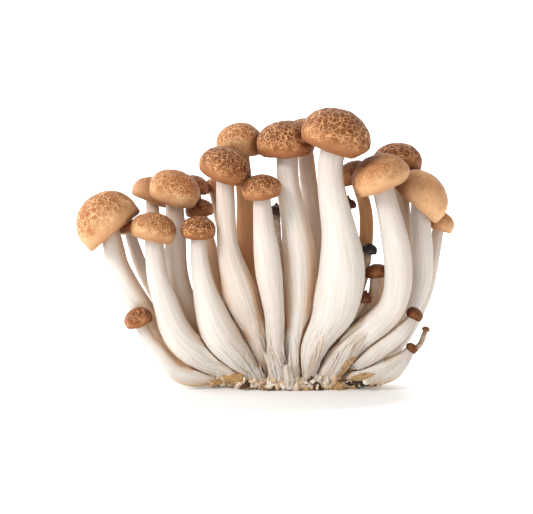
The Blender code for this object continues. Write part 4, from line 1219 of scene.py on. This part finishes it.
def stem_material():
    """A stem's flesh: cream with lengthwise fibres; painted shade makes it warm in the gaps and creases, grey
    under the cap and brown on the stems behind.
    """
    look = Look("stem_flesh")
    fibre = look.attribute("fibre", "Vector")
    sheltered, crease, share, pushed, brown = (
        look.attribute(name) for name in ("sheltered", "crease", "share", "pushed", "brown")
    )
    streaks = look.streaks(fibre, (1.6, 1.6, 0.07), 4.0, 0.6)
    fine = look.streaks(fibre, (4.5, 4.5, 0.16), 4.0, 0.7)
    blotch = look.streaks(fibre, (0.30, 0.30, 0.10), 3.0, 0.6)
    flesh = look.mix(look.spread(streaks, 0.3, 0.7), STEM_DULL, STEM_CREAM)
    flesh = look.mix(look.spread(blotch, 0.52, 0.78, 0.0, 0.45), flesh, STEM_BLOTCH)
    # Painted shade, grey, on the neck under the cap
    flesh = look.mix(look.spread(share, 0.70, 1.0, 0.0, 0.9), flesh, STEM_NECK_SHADE)
    stain = look.times(look.spread(share, 0.30, 0.0), look.spread(streaks, 0.50, 0.62))
    flesh = look.mix(look.times(stain, 0.55), flesh, STEM_STAIN)
    # Painted shade, tan, in the folds
    flesh = look.mix(look.times(look.spread(crease, 0.25, 0.9), 0.80), flesh, STEM_CREASE_SHADE)
    thin = look.times(look.spread(fine, 0.53, 0.70), look.spread(share, 0.0, 0.45, 0.60, 0.22))
    flesh = look.mix(thin, flesh, STEM_FIBRE)

    # Painted shade where a neighbour pressed it, in blotches and less towards the cap
    uneven = look.times(
        look.spread(share, 0.80, 0.40, 0.20, 0.85), look.spread(blotch, 0.30, 0.55, 0.55, 1.0)
    )
    flesh = look.mix(look.times(look.spread(pushed, 0.0, 0.18), uneven), flesh, STEM_CONTACT_SHADE)
    # Painted shade in the gaps between neighbours, warm, and darker deep in
    flesh = look.tint(look.times(look.spread(sheltered, 0.14, 0.60), 0.9), flesh, STEM_GAP_SHADE)
    flesh = look.tint(look.times(look.spread(sheltered, 0.50, 0.85), 0.45), flesh, STEM_DEEP_GAP_SHADE)
    # Brown by the brown value: painted shade on the stems and the squeezed stem, the ridges' own tone
    flesh = look.mix(look.times(brown, 0.8), flesh, look.mix(streaks, *STEM_BROWN_AND_SHADE))
    relief = look.plus(look.times(streaks, 0.7), look.times(fine, 0.4))
    more = {
        "Specular IOR Level": 0.35,
        "Subsurface Weight": 0.12,
        "Subsurface Radius": (1.0, 0.7, 0.45),
        "Subsurface Scale": 0.0012,
    }
    return look.finish(flesh, (fine, 0.48, 0.66), relief, 0.8, 0.0006, more)


def bud_material():
    """A dried bud: dark brown cap, its stem paler downwards."""
    look = Look("bud_skin")
    mottle = look.noise(look.place(), 1400.0, 3.0, 0.7)
    cap = look.attribute("colour", "Color")
    dark = look.tint(look.spread(mottle, 0.45, 0.75, 0.0, 0.9), cap, (2.2, 2.0, 1.8))
    pale = look.mix(look.spread(mottle, 0.4, 0.7), (0.36, 0.25, 0.17), (0.58, 0.49, 0.41))
    skin = look.mix(look.attribute("brown"), pale, dark)
    return look.finish(skin, (mottle, 0.4, 0.6), mottle, 0.4, 0.0002)


def butt_material():
    """The butt's tissue: cream, tan and brown patches."""
    look = Look("butt_tissue")
    place = look.place()
    patches = look.noise(place, 350.0, 4.0, 0.65)
    grains = look.noise(place, 1300.0, 3.0, 0.7)
    tissue = look.mix(look.spread(patches, 0.38, 0.52), (0.30, 0.14, 0.055), (0.76, 0.62, 0.46))
    tissue = look.mix(look.spread(grains, 0.5, 0.68, 0.0, 0.85), tissue, (0.20, 0.085, 0.030))
    return look.finish(tissue, (grains, 0.7, 0.95), grains, 0.9, 0.0006)


def husk_material():
    """A husk flake: golden to brown, with fibres along it."""
    look = Look("husk")
    grain = look.attribute("grain", "Vector")
    fibres = look.streaks(grain, (0.5, 4.0, 1.0), 4.0, 0.65)
    blots = look.noise(grain, 0.7, 3.0, 0.6)
    colour = look.attribute("colour", "Color")
    colour = look.tint(look.spread(fibres, 0.42, 0.62, 0.0, 0.8), colour, (0.55, 0.40, 0.26))
    colour = look.tint(look.spread(blots, 0.50, 0.72, 0.0, 0.7), colour, (0.42, 0.26, 0.15))
    return look.finish(colour, (fibres, 0.6, 0.9), fibres, 0.8, 0.0003)


def crumb_material():
    """Crumbs of what the cluster grew in: white, tan and brown by grain."""
    look = Look("crumb")
    tone = look.attribute("tone")
    grains = look.noise(look.place(), 2200.0, 3.0, 0.7)
    colour = look.mix(look.spread(tone, 0.0, 0.5), (0.86, 0.80, 0.70), (0.62, 0.37, 0.17))
    colour = look.mix(look.spread(tone, 0.5, 1.0), colour, (0.070, 0.026, 0.010))
    colour = look.mix(look.spread(grains, 0.45, 0.7, 0.0, 0.4), colour, (0.30, 0.14, 0.05))
    return look.finish(colour, (grains, 0.7, 0.95), grains, 0.7, 0.0003)


def ride_and_replace(piece, slot, *nodes):
    """Binds a piece to the cluster's body and hides the CAD nodes that it stands for."""
    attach(piece, "root")
    if nodes:
        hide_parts(*nodes)


def build_cluster():
    """Every piece of the cluster in its node's place, and the small ones of the scene alone."""
    cap, stem, bud, husk = cap_material(), stem_material(), bud_material(), husk_material()
    for name, plan in MUSHROOMS.items():
        ride_and_replace(build_stem(name, plan, stem), "stem", f"stem_{name}")
        ride_and_replace(build_cap(name, plan, cap), "cap", f"cap_{name}")
    for name, plan in BUDS.items():
        ride_and_replace(build_bud(name, plan, bud), "bud", f"bud_{name}")
    ride_and_replace(build_butt(butt_material()), "base", "base")
    ride_and_replace(build_ridges(stem), "base")
    ride_and_replace(build_crumbs(crumb_material()), "base")
    for number, name in enumerate(FLAKES):
        ride_and_replace(build_flake(name, number, husk), "base")
    for name in STRANDS:
        ride_and_replace(build_strand(name, stem), "base")


def stage_material(name, near_glow, far_glow):
    """A plain pale surface that glows, so that it stays white, and less near the cluster's shadow."""
    look = Look(name)
    place = look.vector("MULTIPLY", look.vector("ADD", look.place(), SHADOW_SHIFT), SHADOW_SHARES)
    apart = look.add("ShaderNodeVectorMath", {0: place}, operation="LENGTH").outputs["Value"]
    look.feed(look.shader, {
        "Base Color": (*STAGE_GREY, 1.0),
        "Roughness": 0.9,
        "Specular IOR Level": 0.0,
        "Emission Color": (1.0, 1.0, 1.0, 1.0),
        "Emission Strength": look.spread(apart, 0.75, 1.40, near_glow, far_glow),
    })
    return look.material


def build_stage():
    """A wide pale floor and a pale wall far behind."""
    size, wide, back = FLOOR_HALF, WALL_HALF, WALL_BACK
    low, high = WALL_HEIGHTS
    lying = [(-size, -size, 0), (size, -size, 0), (size, size, 0), (-size, size, 0)]
    standing = [(-wide, back, low), (wide, back, low), (wide, back, high), (-wide, back, high)]
    sheets = (("floor", lying, FLOOR_GLOW), ("wall", standing, WALL_GLOW))
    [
        new_mesh(name, corners, [(0, 1, 2, 3)], stage_material(f"{name}_white", *glow))
        for name, corners, glow in sheets
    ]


def look_along(holder, way):
    """Links a camera or lamp that looks along a way."""
    holder.rotation_mode = "QUATERNION"
    holder.rotation_quaternion = way.to_track_quat("-Z", "Y")
    bpy.context.scene.collection.objects.link(holder)


def add_light(name, place, energy, size, colour):
    """A soft square light that looks at the cluster's middle."""
    light = bpy.data.lights.new(name, "AREA")
    light.shape = "SQUARE"
    light.size = size * MM
    light.energy = energy
    light.color = colour
    lamp = bpy.data.objects.new(name, light)
    lamp.location = Vector(place) * MM
    look_along(lamp, Vector(LIGHTS_AIM) - Vector(place))


def light_scene():
    """Soft light from the upper left in front, white all round."""
    world = bpy.data.worlds.new("white")
    bpy.context.scene.world = world
    world.use_nodes = True
    background = world.node_tree.nodes["Background"]
    background.inputs["Color"].default_value = SKY_COLOUR
    background.inputs["Strength"].default_value = SKY_STRENGTH
    for name, settings in LIGHTS.items():
        add_light(name, *settings)
    bpy.context.scene.view_settings.view_transform = "Standard"


def place_camera():
    """The photo's camera: a long lens a little above the cluster."""
    camera = bpy.data.cameras.new("camera")
    camera.lens = CAMERA_LENS
    camera.sensor_width = CAMERA_SENSOR
    camera.clip_start = 0.01
    camera.clip_end = 50.0
    holder = bpy.data.objects.new("camera", camera)
    rise = math.radians(CAMERA_ELEVATION)
    back = Vector((0.0, -math.cos(rise), math.sin(rise)))
    holder.location = (Vector(CAMERA_TARGET) + back * CAMERA_DISTANCE) * MM
    look_along(holder, -back)
    bpy.context.scene.camera = holder


build_cluster()
build_stage()
light_scene()
place_camera()
